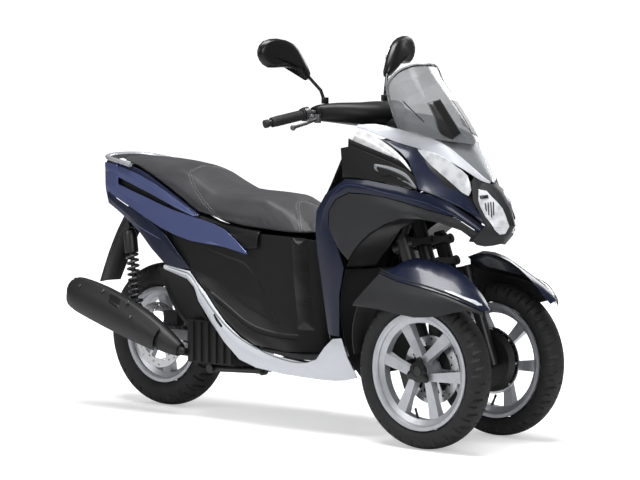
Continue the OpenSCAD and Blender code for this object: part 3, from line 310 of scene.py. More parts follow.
def lay_sheet(bm, skin, first, second, rise, rim, across, swell=(0, 0, 0)):
    count = len(first) - 1
    middle = count // 2
    span = max(1e-6, (first[middle] - second[middle]).length)
    run = sum((b - a).length for a, b in zip(first, first[1:]))
    rows = []
    for i, (a, b) in enumerate(zip(first, second)):
        row = []
        for j in range(across + 1):
            crown = 4 * j / across * (1 - j / across)
            spot, facing = skin.find_nearest(a.lerp(b, j / across) + Vector(swell) * (crown / 1000))[:2]
            inside = min(min(j, across - j) / across, min(i, count - i) / count * run / span) / rim
            lift = (rise + 0.0008) * math.sin(min(1.0, inside) * math.pi / 2) - 0.0008
            row.append((bm.verts.new(spot + facing * lift), facing))
        rows.append(row)
    for low, high in zip(rows, rows[1:]):
        for j in range(across):
            face = bm.faces.new([low[j][0], low[j + 1][0], high[j + 1][0], high[j][0]])
            face.normal_update()
            if face.normal.dot(low[j][1]) < 0:
                face.normal_flip()


def mirrored_sides(points, both):
    return [[(side * x, y, z) for x, y, z in points] for side in ((1, -1) if both else (1,))]


def inlay(name, node, upper, lower, rise, finish, body, both=True, count=60, rim=0.18, across=12,
          swell=(0, 0, 0)):
    skin = surface_of(node)
    bm = bmesh.new()
    for first, second in zip(mirrored_sides(upper, both), mirrored_sides(lower, both)):
        lay_sheet(bm, skin, even_path(first, count), even_path(second, count), rise / 1000, rim, across, swell)
    return collected(name, bm, finish, body, 60)


def strip(name, node, path, width, rise, finish, body, both=True, count=80, taper=0.12):
    skin = surface_of(node)
    bm = bmesh.new()
    for side in mirrored_sides(path, both):
        line = even_path(side, count)
        first, second = [], []
        for i, point in enumerate(line):
            spot, facing = skin.find_nearest(point)[:2]
            ahead = line[min(i + 1, count)] - line[max(i - 1, 0)]
            share = min(1.0, 0.2 + min(i, count - i) / count / taper) if taper else 1.0
            across = facing.cross(ahead).normalized() * (width / 2000 * share)
            first.append(spot + across)
            second.append(spot - across)
        lay_sheet(bm, skin, first, second, rise / 1000, 0.3, 4)
    return collected(name, bm, finish, body, 60)


def panel(name, rows, finish, body, thick=2.0, both=True, count=48, across=6):
    bm = bmesh.new()
    for side in ((1, -1) if both else (1,)):
        lines = [even_path([(side * x, y, z) for x, y, z in row], count) for row in rows]
        skin = []
        for stops in zip(*lines):
            column = even_path([point * 1000 for point in stops], across)
            skin.append([bm.verts.new(point) for point in column])
        for low, high in zip(skin, skin[1:]):
            for j in range(across):
                corners = [low[j], low[j + 1], high[j + 1], high[j]]
                bm.faces.new(corners if side > 0 else corners[::-1])
    made = collected(name, bm, finish, body, 50)
    wall = made.modifiers.new("wall", "SOLIDIFY")
    wall.thickness = thick / 1000
    wall.offset = 0
    return made


# Paler blue for painted highlight lines along edges of the deep blue panels.
edge_highlight_blue = paint("edge painted highlight blue", (0.075, 0.090, 0.20), 0.15, 0.30, 0.4, 0.5, 0.3)
strip("sill.edge", "sill_panels",
      [(-178, 470, 510), (-184, 410, 505), (-191, 345, 490), (-200, 298, 448), (-207, 227, 380),
       (-210, 138, 314), (-210, 48, 274), (-211, -56, 246), (-209, -160, 235), (-203, -236, 258)],
      7, 1.0, grey_paint_and_shade, "chassis")
for side, body in ((-1, "fork_right"), (1, "fork_left")):
    name = body.replace("fork", "mudguard")
    strip(name + ".accent", name,
          [(side * 248, -800, 528), (side * 240, -832, 518), (side * 229, -860, 506),
           (side * 212, -886, 493), (side * 188, -912, 478)],
          23, 2.4, silver_paint, body, both=False, taper=0.25)
# A thin pale blue line along the lower tail panel: painted highlight on its edge.
strip("tail.painted_highlight", "tail_lowers",
      [(-126, 782, 704), (-137, 712, 668), (-156, 630, 640), (-170, 540, 612), (-176, 500, 600)],
      5, 0.6, edge_highlight_blue, "chassis")
# A thin line along the top edge of the shield band: painted highlight.
strip("shield.painted_highlight", "shield_bands",
      [(-218, -262, 660), (-225, -278, 728), (-228, -314, 786), (-229, -362, 826), (-227, -420, 831),
       (-222, -520, 814), (-215, -596, 802), (-196, -703, 780), (-160, -757, 753), (-118, -801, 722)],
      4, 0.5, paint("soft edge painted highlight blue", (0.020, 0.028, 0.075), 0.15, 0.34, 0.3, 0.4, 0.3), "chassis")


# Grained and plain black mouldings: the unpainted plastic of the apron, floor,
# side covers, arch liner and lower mudguards, with a fine leather-like grain.
def plastic(name, colour, roughness, grain=900.0, depth=0.00012, gloss=0.35):
    made, flow, shader = material(name, {"Specular IOR Level": gloss})
    cell = flow.node("ShaderNodeTexVoronoi", {"feature": "SMOOTH_F1"}, {
        "Vector": flow.node("ShaderNodeTexCoord", out="Object"), "Scale": grain}, out="Distance")
    feed(tinted(flow, noise(flow, 8.0), [c * 0.88 for c in colour], [c * 1.12 for c in colour]),
         shader, "Base Color")
    feed(roughness - 0.05 + noise(flow, 20.0) * 0.10, shader, "Roughness")
    feed(bumped(flow, cell, 0.5, depth), shader, "Normal")
    return made


charcoal = plastic("charcoal plastic", (0.022, 0.0225, 0.024), 0.46, gloss=0.25)
black_plastic = plastic("black plastic", (0.007, 0.007, 0.0075), 0.42, gloss=0.22)
plain_black = plastic("plain black", (0.006, 0.006, 0.0065), 0.28, 300.0, 0.00002, 0.35)
for node in ("arch_panels", "leg_panel", "floorboard"):
    moulded(node, charcoal, "chassis")
moulded("nose_beak", charcoal, "chassis")
moulded("bar_cover", black_plastic, "handlebar")
moulded("skirt_right", charcoal, "fork_right")
moulded("skirt_left", charcoal, "fork_left")
for node in ("arch_liner", "side_covers", "tail_core", "rear_fender", "luggage_bin",
             "radiator_cover", "vent_panels", "dash", "wheel_guard"):
    moulded(node, black_plastic, "chassis")


# Black backing behind the open seams of the front: a core inside the nose, a
# piece behind each front corner and a lip behind each mudguard's lower edge.
panel("nose.core",
      [[(-184, -470, 886), (-176, -600, 846), (-142, -700, 800), (-96, -776, 744), (-72, -808, 704)],
       [(-178, -470, 950), (-164, -600, 896), (-124, -700, 846), (-74, -776, 786), (-54, -808, 736)],
       [(-144, -470, 978), (-116, -600, 938), (-84, -700, 876), (-46, -776, 804), (-36, -812, 756)],
       [(0, -470, 984), (0, -600, 944), (0, -700, 884), (0, -780, 810), (0, -818, 760)]],
      black_plastic, "chassis", across=12)
panel("nose.corner",
      [[(-84, -806, 716), (-95, -802, 697), (-100, -794, 680), (-100, -784, 662)],
       [(-66, -822, 712), (-79, -820, 696), (-87, -811, 680), (-88, -802, 660)]],
      black_plastic, "chassis", count=20)
panel("nose.side",
      [[(-204, -372, 980), (-202, -440, 958), (-196, -520, 934), (-190, -590, 908), (-180, -650, 862)],
       [(-207, -372, 922), (-205, -440, 906), (-199, -520, 890), (-192, -590, 866), (-184, -650, 830)]],
      black_plastic, "chassis")
panel("cowl.floor",
      [[(-62, -345, 898), (-62, -400, 898), (-62, -470, 894), (-62, -540, 884)],
       [(-130, -345, 902), (-130, -400, 902), (-130, -470, 898), (-128, -540, 888)],
       [(-198, -345, 906), (-202, -400, 912), (-196, -470, 908), (-186, -540, 896)]],
      black_plastic, "chassis")
for side, body in ((-1, "fork_right"), (1, "fork_left")):
    panel(body.replace("fork", "mudguard") + ".lip",
          [[(side * 232, -530, 570), (side * 247, -610, 550), (side * 252, -716, 535), (side * 245, -818, 514),
            (side * 222, -876, 490), (side * 190, -912, 467)],
           [(side * 236, -530, 546), (side * 252, -610, 526), (side * 258, -716, 511), (side * 251, -816, 490),
            (side * 227, -874, 467), (side * 194, -908, 446)]],
          black_plastic, body, both=False)


# Side panels under the seat: a leaf-shaped raised panel, a lip above the sill,
# a round post at the front and a slot plug in the sill, all moulded black.
inlay("cover.leaf", "side_covers",
      [(-163, 462, 606), (-164, 446, 619), (-171, 369, 608), (-175, 272, 584), (-172, 192, 565),
       (-167, 119, 545), (-159, 58, 481), (-158, 15, 400), (-155, -27, 350)],
      [(-163, 462, 590), (-166, 444, 560), (-180, 356, 504), (-181, 266, 479), (-179, 199, 446),
       (-175, 111, 394), (-166, 29, 366), (-160, -5, 352), (-155, -28, 342)],
      3.0, black_plastic, "chassis", rim=0.10, across=20)
inlay("cover.lip", "side_covers",
      [(-183, 345, 488), (-184, 290, 460), (-183, 195, 408), (-177, 85, 346), (-163, -12, 322), (-143, -100, 316)],
      [(-184, 330, 470), (-185, 280, 438), (-184, 185, 380), (-177, 75, 320), (-163, -20, 300), (-143, -108, 296)],
      4.0, black_plastic, "chassis", rim=0.30, across=8)
inlay("cover.post", "side_covers",
      [(-133, -58, 640), (-134, -66, 560), (-135, -74, 470), (-139, -88, 370), (-141, -92, 330)],
      [(-122, -124, 640), (-122, -128, 560), (-122, -138, 470), (-124, -152, 370), (-126, -158, 330)],
      9.0, plain_black, "chassis", rim=0.5, across=16)
inlay("sill.plug", "sill_panels",
      [(-212, 226, 366), (-212, 210, 344), (-213, 184, 322)], [(-212, 218, 372), (-212, 200, 352), (-213, 177, 330)],
      1.2, black_plastic, "chassis", count=20, rim=0.3, across=8)
inlay("vent.frame", "vent_panels",
      [(-211, -484, 902), (-206, -548, 897), (-201, -609, 876), (-199, -652, 833)],
      [(-211, -484, 890), (-209, -520, 846), (-205, -560, 834), (-199, -652, 827)],
      2.4, grey_paint_and_shade, "chassis", rim=0.16, across=16)
inlay("vent.mouth", "vent_panels",
      [(-210, -496, 895), (-206, -548, 889), (-201, -605, 868), (-199, -640, 838)],
      [(-210, -496, 888), (-209, -526, 854), (-205, -562, 842), (-199, -640, 834)],
      2.9, plain_black, "chassis", rim=0.10, across=14)


# Tail fillers: the painted infill between the upper fins, the seat and the
# rail, the piece that closes the fins at the rear, and the deck in the rail.
panel("tail.infill",
      [[(-164, 334, 680), (-156, 428, 724), (-141, 562, 779), (-121, 718, 823), (-104, 832, 840)],
       [(-160, 334, 690), (-153, 426, 734), (-138, 560, 792), (-122, 712, 840), (-106, 826, 856)],
       [(-148, 334, 693), (-140, 422, 734), (-122, 578, 806), (-118, 700, 846), (-88, 826, 864)]],
      blue_paint, "chassis")
# The rear closing piece carries the fins' painted highlight blue.
panel("tail.end",
      [[(-121, 758, 846), (-122, 756, 800), (-122, 758, 760), (-123, 770, 716)],
       [(-116, 796, 850), (-117, 794, 804), (-118, 794, 760), (-119, 792, 712)],
       [(-106, 834, 851), (-108, 832, 808), (-112, 826, 760), (-116, 808, 709)]],
      fin_highlight_paint, "chassis", thick=3.0, count=24)
panel("tail.deck",
      [[(-128, 700, 846), (-116, 780, 858), (-96, 830, 866), (-50, 852, 869), (0, 857, 870)],
       [(-90, 700, 848), (-80, 770, 856), (-64, 812, 862), (-34, 822, 864), (0, 824, 865)]],
      charcoal, "chassis", thick=4.0)
panel("seat.gap",
      [[(-168, 60, 596), (-167, 120, 596), (-166, 202, 640), (-162, 290, 668), (-158, 350, 684)],
       [(-160, 60, 640), (-158, 120, 648), (-155, 202, 660), (-152, 290, 680), (-150, 350, 692)],
       [(-146, 60, 650), (-146, 120, 656), (-144, 202, 668), (-142, 290, 684), (-140, 350, 695)]],
      black_plastic, "chassis")
panel("seat.tray",
      [[(-146, 340, 691), (-138, 420, 727), (-132, 488, 762), (-122, 578, 800), (-108, 684, 834), (-92, 760, 848)],
       [(0, 340, 691), (0, 420, 727), (0, 488, 762), (0, 578, 800), (0, 684, 834), (0, 760, 848)]],
      black_plastic, "chassis")

# Inner rear panel: the black moulding behind the sill, which hides the front of
# the rear wheel and runs down to the radiator.
panel("rear.inner",
      [[(-160, 520, 506), (-152, 512, 460), (-150, 456, 362), (-148, 388, 296), (-146, 352, 246)],
       [(-166, 430, 492), (-160, 396, 440), (-158, 352, 350), (-156, 310, 290), (-154, 286, 244)],
       [(-170, 372, 486), (-168, 336, 420), (-166, 282, 330), (-166, 210, 262), (-166, 170, 216)]],
      black_plastic, "chassis", thick=3.0)


# Lamps and screen: clear polycarbonate lenses tinted pale in place of the reflectors behind them, a red tail
# lens and a smoked screen bolted to two stays.
def lens(name, colour, roughness, through, alpha, flutes=0.0):
    made, flow, shader = material(name, {
        "Transmission Weight": through, "IOR": 1.45, "Alpha": alpha, "Coat Weight": 0.6})
    tone = noise(flow, 12.0)
    if flutes:
        place = flow.node("ShaderNodeTexCoord", out="Object")
        rows = flow.node("ShaderNodeTexWave", {"bands_direction": "DIAGONAL"}, {
            "Vector": place, "Scale": flutes / 4, "Distortion": 0.4}, out="Fac")
        cells = flow.node("ShaderNodeTexVoronoi", inputs={"Vector": place, "Scale": 42.0}, out="Distance")
        feed(bumped(flow, rows + cells * 2.0, 0.35, 0.0006), shader, "Normal")
        tone = 0.25 + rows * 0.25 + cells * 0.9
    feed(tinted(flow, tone, [c * 0.42 for c in colour], colour), shader, "Base Color")
    feed(roughness + noise(flow, 30.0) * 0.03, shader, "Roughness")
    return made


clear_lens = lens("clear lens", (0.84, 0.86, 0.89), 0.05, 0.20, 1.0, 420.0)
amber_lens = lens("clear indicator lens", (0.74, 0.74, 0.75), 0.06, 0.20, 1.0, 260.0)
amber_bulb = lens("amber bulb", (0.86, 0.52, 0.28), 0.12, 0.10, 1.0)
red_lens = lens("red lens", (0.42, 0.01, 0.01), 0.08, 0.25, 1.0, 300.0)
smoked = lens("light smoked screen", (0.26, 0.27, 0.285), 0.03, 0.30, 0.60)
moulded("headlamps", clear_lens, "chassis")
moulded("light_strips", clear_lens, "chassis")
moulded("indicators", amber_lens, "chassis")
inlay("indicator.bulb", "indicators", [(-192, -402, 1000), (-194, -440, 994)], [(-196, -402, 978), (-198, -440, 966)],
      1.0, amber_bulb, "chassis", count=16, rim=0.5)
inlay("lamp.comb", "headlamps", [(-60, -794, 807), (-40, -814, 811)], [(-60, -798, 796), (-41, -819, 798)],
      2.0, plain_black, "chassis", count=24, rim=0.2, swell=(-1, -1, 0))
for step, (top, foot) in enumerate((((-53, -810, 785), (-57, -818, 758)), ((-47, -817, 787), (-54, -826, 745)),
                                    ((-41, -823, 789), (-50, -834, 738)), ((-36, -829, 789), (-45, -838, 744)))):
    inlay("lamp.blade" + str(step + 1), "headlamps", [top, foot],
          [(top[0] + 3, top[1] - 3, top[2]), (foot[0] + 3, foot[1] - 3, foot[2])],
          2.0, charcoal, "chassis", count=16, rim=0.2, swell=(-1, -1, 0))
strip("indicator.rim", "indicators",
      [(-196, -622, 884), (-198, -574, 914), (-203, -520, 932), (-206, -460, 950), (-207, -386, 971)],
      7, 1.2, plain_black, "chassis", taper=0)
moulded("tail_lamp", red_lens, "chassis")
moulded("windscreen", smoked, "chassis", edge=0.001)
inlay("screen.housing", "windscreen", [(-79, -598, 1098), (-86, -630, 1054), (-100, -664, 1006), (-76, -700, 982)],
      [(-27, -612, 1112), (-29, -654, 1062), (-27, -680, 1030), (-26, -704, 1004)],
      0.8, plain_black, "chassis", count=40, rim=0.14, swell=(-4, -12, 8))
strip("screen.rim", "windscreen",
      [(-163, -552, 1014), (-163, -538, 1043), (-161, -524, 1073), (-156, -505, 1106), (-148, -491, 1136),
       (-139, -487, 1156), (-128, -489, 1170), (-102, -500, 1194), (-62, -517, 1210), (-30, -521, 1213),
       (0, -522, 1213)],
      6, 0.8, plain_black, "chassis", taper=0)
strip("screen.stay", "windscreen", [(-133, -541, 1102), (-125, -576, 1071), (-115, -613, 1037)],
      4, 1.0, plain_black, "chassis", taper=0)


# Metalwork: powder coated tubes, bare castings, ground discs and the sprayed
# silver wheels.
def metal(name, colour, roughness, metallic=1.0, scale=60.0, depth=0.00006):
    made, flow, shader = material(name, {})
    feed(tinted(flow, noise(flow, scale), [c * 0.86 for c in colour], [min(1, c * 1.08) for c in colour]),
         shader, "Base Color")
    shader.inputs["Metallic"].default_value = metallic
    feed(roughness - 0.05 + noise(flow, scale * 0.6) * 0.10, shader, "Roughness")
    feed(bumped(flow, noise(flow, scale * 14), 0.3, depth), shader, "Normal")
    return made


black_coat = metal("black coat", (0.010, 0.010, 0.011), 0.38, 0.0)
link_cast = metal("dark casting", (0.026, 0.026, 0.028), 0.42, 0.3)
cast_alloy = metal("cast alloy", (0.30, 0.30, 0.31), 0.48, 0.8, 90.0, 0.0002)
bright_alloy = metal("bright alloy", (0.62, 0.62, 0.64), 0.28, 1.0)
lever_grey = metal("lever grey", (0.10, 0.10, 0.105), 0.36, 0.7)
steel = metal("ground steel", (0.55, 0.55, 0.56), 0.26, 1.0, 200.0)
wheel_silver = metal("wheel silver", (0.47, 0.48, 0.51), 0.36, 0.55, 40.0, 0.00003)
muffler_black = metal("muffler black", (0.010, 0.010, 0.011), 0.50, 0.2, 120.0, 0.0001)
rail_silver = metal("rail silver", (0.42, 0.43, 0.46), 0.38, 0.6)
for node, finish in (
        ("frame", black_coat), ("centre_stand", black_coat), ("handlebar", black_coat),
        ("seat_hinge", black_coat),
        ("fork_right", black_coat), ("fork_left", black_coat), ("lean_arms", link_cast),
        ("side_pivots", link_cast), ("tie_rod", link_cast), ("engine", cast_alloy),
        ("rear_shocks", steel), ("rear_caliper", link_cast), ("disc_right", steel),
        ("disc_left", steel), ("disc_rear", steel), ("rim_right", wheel_silver),
        ("rim_left", wheel_silver), ("rim_rear", wheel_silver)):
    dress(node, finish)
moulded("muffler", muffler_black, "chassis")
moulded("heat_shield", muffler_black, "chassis")
moulded("grab_rail", rail_silver, "chassis")
moulded("levers", lever_grey, "handlebar")
moulded("mirrors", plain_black, "handlebar", edge=0.001)
mirror_silver = metal("mirror silver", (0.62, 0.64, 0.66), 0.04, 1.0, 20.0, 0.0)
panel("mirror.glass",
      [[(-382, -146, 1258), (-366, -147, 1280), (-330, -154, 1289), (-290, -161, 1283), (-250, -169, 1264),
        (-222, -175, 1236)],
       [(-384, -144, 1252), (-366, -146, 1252), (-330, -153, 1252), (-290, -161, 1250), (-250, -168, 1238),
        (-222, -174, 1218)],
       [(-382, -146, 1246), (-366, -149, 1228), (-330, -156, 1219), (-290, -163, 1218), (-250, -170, 1212),
        (-222, -176, 1198)]],
      mirror_silver, "handlebar", thick=3.0)


# Rear spring units: a damper between two rubber eyes, with a coil spring held
# between a lower plate and the long upper cover.
def tube(bm, path, radius, sides=12, closed_ends=True):
    normal = None
    rings = []
    for i, point in enumerate(path):
        ahead = (path[min(i + 1, len(path) - 1)] - path[max(i - 1, 0)]).normalized()
        if normal is None:
            normal = ahead.orthogonal().normalized()
        normal = (normal - ahead * normal.dot(ahead)).normalized()
        other = ahead.cross(normal)
        rings.append([bm.verts.new(point + (normal * math.cos(2 * math.pi * k / sides)
                                            + other * math.sin(2 * math.pi * k / sides)) * radius)
                      for k in range(sides)])
    for low, high in zip(rings, rings[1:]):
        for k in range(sides):
            bm.faces.new([low[k], low[(k + 1) % sides], high[(k + 1) % sides], high[k]])
    if closed_ends:
        bm.faces.new(rings[0][::-1])
        bm.faces.new(rings[-1])


def turned(bm, start, axis, profile, sides=40):
    """Rings of (distance along the axis, radius), closed where the radius is nothing."""
    side = axis.orthogonal().normalized()
    other = axis.cross(side)
    rings = []
    for along, radius in profile:
        if radius <= 0:
            rings.append([bm.verts.new(start + axis * along)] * sides)
        else:
            rings.append([bm.verts.new(start + axis * along + (side * math.cos(2 * math.pi * k / sides)
                                       + other * math.sin(2 * math.pi * k / sides)) * radius)
                          for k in range(sides)])
    for low, high in zip(rings, rings[1:]):
        for k in range(sides):
            corners = [low[k], low[(k + 1) % sides], high[(k + 1) % sides], high[k]]
            corners = list(dict.fromkeys(corners))
            if len(corners) > 2:
                bm.faces.new(corners)


dampers = bmesh.new()
coils = bmesh.new()
for side in (-1, 1):
    foot = Vector((side * 0.122, 0.668, 0.350))
    head = Vector((side * 0.122, 0.702, 0.632))
    axis = (head - foot).normalized()
    length = (head - foot).length
    for place in (foot, head):
        turned(dampers, place - Vector((0.016, 0, 0)), Vector((1, 0, 0)),
               [(0, 0), (0, 0.013), (0.001, 0.014), (0.031, 0.014), (0.032, 0.013), (0.032, 0)])
    turned(dampers, foot, axis, [(0.010, 0), (0.010, 0.0078), (length - 0.010, 0.0078), (length - 0.010, 0)], 20)
    turned(dampers, foot, axis, [(0.018, 0.009), (0.018, 0.024), (0.020, 0.025), (0.028, 0.025), (0.030, 0.024),
                                 (0.030, 0.009)])
    turned(dampers, foot, axis, [(length - 0.092, 0.010), (length - 0.092, 0.022), (length - 0.090, 0.024),
                                 (length - 0.030, 0.024), (length - 0.014, 0.019), (length - 0.012, 0.010)])
    across = axis.orthogonal().normalized()
    other = axis.cross(across)
    turns = 8.0
    wire = []
    for k in range(int(turns * 28) + 1):
        angle = 2 * math.pi * k / 28
        rise = 0.034 + (length - 0.094 - 0.034) * k / (turns * 28)
        wire.append(foot + axis * rise + (across * math.cos(angle) + other * math.sin(angle)) * 0.0195)
    tube(coils, wire, 0.0042, 8)
bmesh.ops.recalc_face_normals(dampers, faces=dampers.faces)
bmesh.ops.recalc_face_normals(coils, faces=coils.faces)
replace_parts(collected("rear.dampers", dampers, black_coat, "chassis", 35), "rear_shocks")
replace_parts(collected("rear.springs", coils, lever_grey, "chassis", 60), "rear_shocks")


# Hub caps and valves: a three-lobed black cap round each front spindle nut and
# a rubber valve standing out of the rim.
for side, body in ((-1, "wheel_front_right"), (1, "wheel_front_left")):
    cap = bmesh.new()
    rows = []
    for grow, inset in ((0.0, 0.022), (0.55, 0.022), (0.95, 0.030), (1.0, 0.033), (0.96, 0.037), (0.80, 0.039), (0.0, 0.0395)):
        ring = []
        for k in range(120):
            angle = 2 * math.pi * k / 120
            lobe = 0.034 + 0.015 * max(0.0, math.cos(3 * (angle - math.radians(97)))) ** 1.5
            radius = 0.017 + (lobe - 0.017) * grow
            ring.append(cap.verts.new((side * (0.1925 + inset), -0.682 + radius * math.cos(angle),
                                       0.250 + radius * math.sin(angle))))
        rows.append(ring)
    rows.append(rows[0])
    for low, high in zip(rows, rows[1:]):
        for k in range(120):
            cap.faces.new([low[k], low[(k + 1) % 120], high[(k + 1) % 120], high[k]])
    bmesh.ops.recalc_face_normals(cap, faces=cap.faces)
    collected(body + ".cap", cap, plain_black, body, 40)
    valve = bmesh.new()
    turned(valve, Vector((side * 0.1965, -0.655, 0.103)), Vector((side * 0.45, -0.10, 0.88)).normalized(),
           [(-0.012, 0), (-0.012, 0.005), (0.006, 0.0042), (0.018, 0.0034), (0.019, 0.0042), (0.028, 0.0042), (0.030, 0.003),
            (0.030, 0)], 16)
    bmesh.ops.recalc_face_normals(valve, faces=valve.faces)
    collected(body + ".valve", valve, plain_black, body, 40)


# Silencer dressing: the oval window of the heat shield and its two bolts.
inlay("shield.window", "heat_shield", [(-244, 690, 416), (-240, 656, 412), (-240, 626, 398)],
      [(-262, 676, 378), (-264, 648, 362), (-262, 622, 354)],
      0.8, plain_black, "chassis", both=False, count=30, rim=0.35)
bolts = bmesh.new()


def bolt(bm, place, axis, radius, height):
    start = Vector(place) / 1000
    turned(bm, start, Vector(axis).normalized(),
           [(-height * 0.3, 0), (-height * 0.3, radius), (height * 0.85, radius), (height, radius * 0.85),
            (height, radius * 0.55), (height * 0.5, radius * 0.5), (height * 0.5, 0)], 18)


for place, axis in (((-254, 818, 426), (-0.74, -0.09, 0.66)), ((-250, 573, 336), (-0.93, -0.17, 0.32)),
                    ((-241, 716, 414), (-0.75, -0.18, 0.63)), ((-238, 600, 382), (-0.77, -0.24, 0.59))):
    bolt(bolts, place, axis, 0.006, 0.003)
bmesh.ops.recalc_face_normals(bolts, faces=bolts.faces)
collected("shield.bolts", bolts, lever_grey, "chassis", 35)


# Grips: moulded rubber sleeves with ribs.
def rubber(name, colour, roughness):
    made, flow, shader = material(name, {"Specular IOR Level": 0.3})
    feed(tinted(flow, noise(flow, 40.0, 4.0), [c * 0.8 for c in colour], [c * 1.25 for c in colour]),
         shader, "Base Color")
    feed(roughness + noise(flow, 25.0, 3.0) * 0.12, shader, "Roughness")
    feed(bumped(flow, noise(flow, 700.0, 3.0), 0.4, 0.0001), shader, "Normal")
    return made


grip_rubber = rubber("grip rubber", (0.020, 0.020, 0.021), 0.62)
dress("grips", grip_rubber)


# Tyres: black rubber with slanting grooves moulded into the tread, one pattern
# repeated round the wheel and mirrored about the middle.
tyre_rubber = rubber("tyre rubber", (0.016, 0.016, 0.017), 0.62)


def tyre_place(t, sink, radius, width, rim_radius):
    crown = radius - rim_radius
    half = width / 2
    if abs(t) <= 0.72:
        turn = math.radians(90 - 90 * t / 0.72)
        lift = max(0.0, math.sin(turn)) ** 0.62
        across = half * math.cos(turn)
        out = rim_radius + crown * (0.30 + 0.70 * lift)
    else:
        down = (abs(t) - 0.72) / 0.28
        bead = width * 0.34 - 0.0033
        across = math.copysign(half + (bead - half) * down ** 1.6, t)
        out = rim_radius + crown * 0.30 * (1 - down) + 0.0015 * down
    return across * (1 - sink / half * 0.4), out - sink


def tyre(name, node, body, centre, radius, width, rim_radius, repeats):
    pitch = 2 * math.pi / repeats
    bm = bmesh.new()
    bmesh.ops.create_grid(bm, x_segments=4, y_segments=40, size=0.5,
                          matrix=Matrix.Translation((0.5, 0, 0)) @ Matrix.Diagonal((1, 2, 1, 1)))
    grooves = ((0.10, 0.42, 0.06, 0.52, 0.040), (0.60, 0.28, 0.24, 0.66, 0.034))
    for side in (1, -1):
        for start, slant, low, high, half_gap in grooves:
            shift = 0.0 if side > 0 else 0.25
            for edge in (-half_gap, half_gap):
                faces = [f for f in bm.faces if f.calc_center_median().y * side > 0]
                geom = list({v for f in faces for v in f.verts}) + list({e for f in faces for e in f.edges}) + faces
                bmesh.ops.bisect_plane(
                    bm, geom=geom, dist=1e-6, plane_co=((start + shift + edge) % 1.2, 0, 0),
                    plane_no=(1, -slant * side, 0))
            for level in (low, high):
                geom = bm.verts[:] + bm.edges[:] + bm.faces[:]
                bmesh.ops.bisect_plane(bm, geom=geom, dist=1e-6, plane_co=(0, level * side, 0), plane_no=(0, 1, 0))
    sunk = []
    for f in bm.faces:
        c = f.calc_center_median()
        side = 1 if c.y > 0 else -1
        shift = 0.0 if side > 0 else 0.25
        for start, slant, low, high, half_gap in grooves:
            line = (start + shift) % 1.2 + slant * abs(c.y)
            if abs(c.x - line) < half_gap and low < abs(c.y) < high:
                sunk.append(f)
                break
    pressed = bmesh.ops.extrude_face_region(bm, geom=sunk)
    down = [v for v in pressed["geom"] if isinstance(v, bmesh.types.BMVert)]
    bmesh.ops.translate(bm, verts=down, vec=(0, 0, 1.0))
    for v in bm.verts:
        across, out = tyre_place(v.co.y, v.co.z * 0.0035, radius, width, rim_radius)
        angle = v.co.x * pitch
        v.co = Vector((across, out * math.cos(angle), out * math.sin(angle)))
    bmesh.ops.spin(bm, geom=bm.verts[:] + bm.edges[:] + bm.faces[:], cent=(0, 0, 0), axis=(1, 0, 0),
                   dvec=(0, 0, 0), angle=2 * math.pi - pitch, steps=repeats - 1, use_duplicate=True)
    bmesh.ops.remove_doubles(bm, verts=bm.verts, dist=0.00002)
    bmesh.ops.recalc_face_normals(bm, faces=bm.faces)
    bmesh.ops.translate(bm, verts=bm.verts, vec=centre)
    made = collected(name, bm, tyre_rubber, body, 40)
    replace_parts(made, node)


tyre("tread.right", "tyre_right", "wheel_front_right", (-0.1925, -0.682, 0.250), 0.250, 0.090, 0.190, 30)
tyre("tread.left", "tyre_left", "wheel_front_left", (0.1925, -0.682, 0.250), 0.250, 0.090, 0.190, 30)
tyre("tread.rear", "tyre_rear", "wheel_rear", (0, 0.628, 0.251), 0.251, 0.112, 0.169, 28)


# Seat: one foam pad for rider and passenger, covered with dark grey vinyl. The
# cover is pulled over the foam and sewn with a double row of light thread, and
# the middle of the rider's part is perforated.
def seat_vinyl():
    made, flow, shader = material("seat vinyl", {"Specular IOR Level": 0.3})
    place = flow.node("ShaderNodeTexCoord", out="Object")
    x, y = (flow.node("ShaderNodeSeparateXYZ", inputs={0: place}, out=k) for k in (0, 1))
    middle = flow.node("ShaderNodeMapRange", inputs={
        "Value": x.maths("ABSOLUTE", x), "From Min": 0.112, "From Max": 0.100})
    fore = flow.node("ShaderNodeMapRange", inputs={"Value": y, "From Min": -0.02, "From Max": 0.0})
    aft = flow.node("ShaderNodeMapRange", inputs={"Value": y, "From Min": 0.36, "From Max": 0.34})
    dots = flow.node("ShaderNodeTexVoronoi", inputs={"Vector": place, "Scale": 150.0, "Randomness": 0.0},
                     out="Distance")
    hole = flow.node("ShaderNodeMapRange", inputs={"Value": dots, "From Min": 0.30, "From Max": 0.22})
    pierced = hole * middle * fore * aft
    grain = flow.node("ShaderNodeTexVoronoi", {"feature": "SMOOTH_F1"}, {"Vector": place, "Scale": 520.0},
                      out="Distance")
    # The perforation holes are painted darker than the vinyl: painted shade inside the holes.
    feed(tinted(flow, noise(flow, 9.0, 3.0) - pierced * 0.9, (0.022, 0.022, 0.024), (0.050, 0.050, 0.055)),
         shader, "Base Color")
    feed(0.46 + noise(flow, 30.0) * 0.10 + pierced * 0.2, shader, "Roughness")
    feed(bumped(flow, grain - pierced * 3.0, 0.5, 0.0003), shader, "Normal")
    return made


def settled_mesh(piece):
    return bpy.data.meshes.new_from_object(piece.evaluated_get(bpy.context.evaluated_depsgraph_get()))


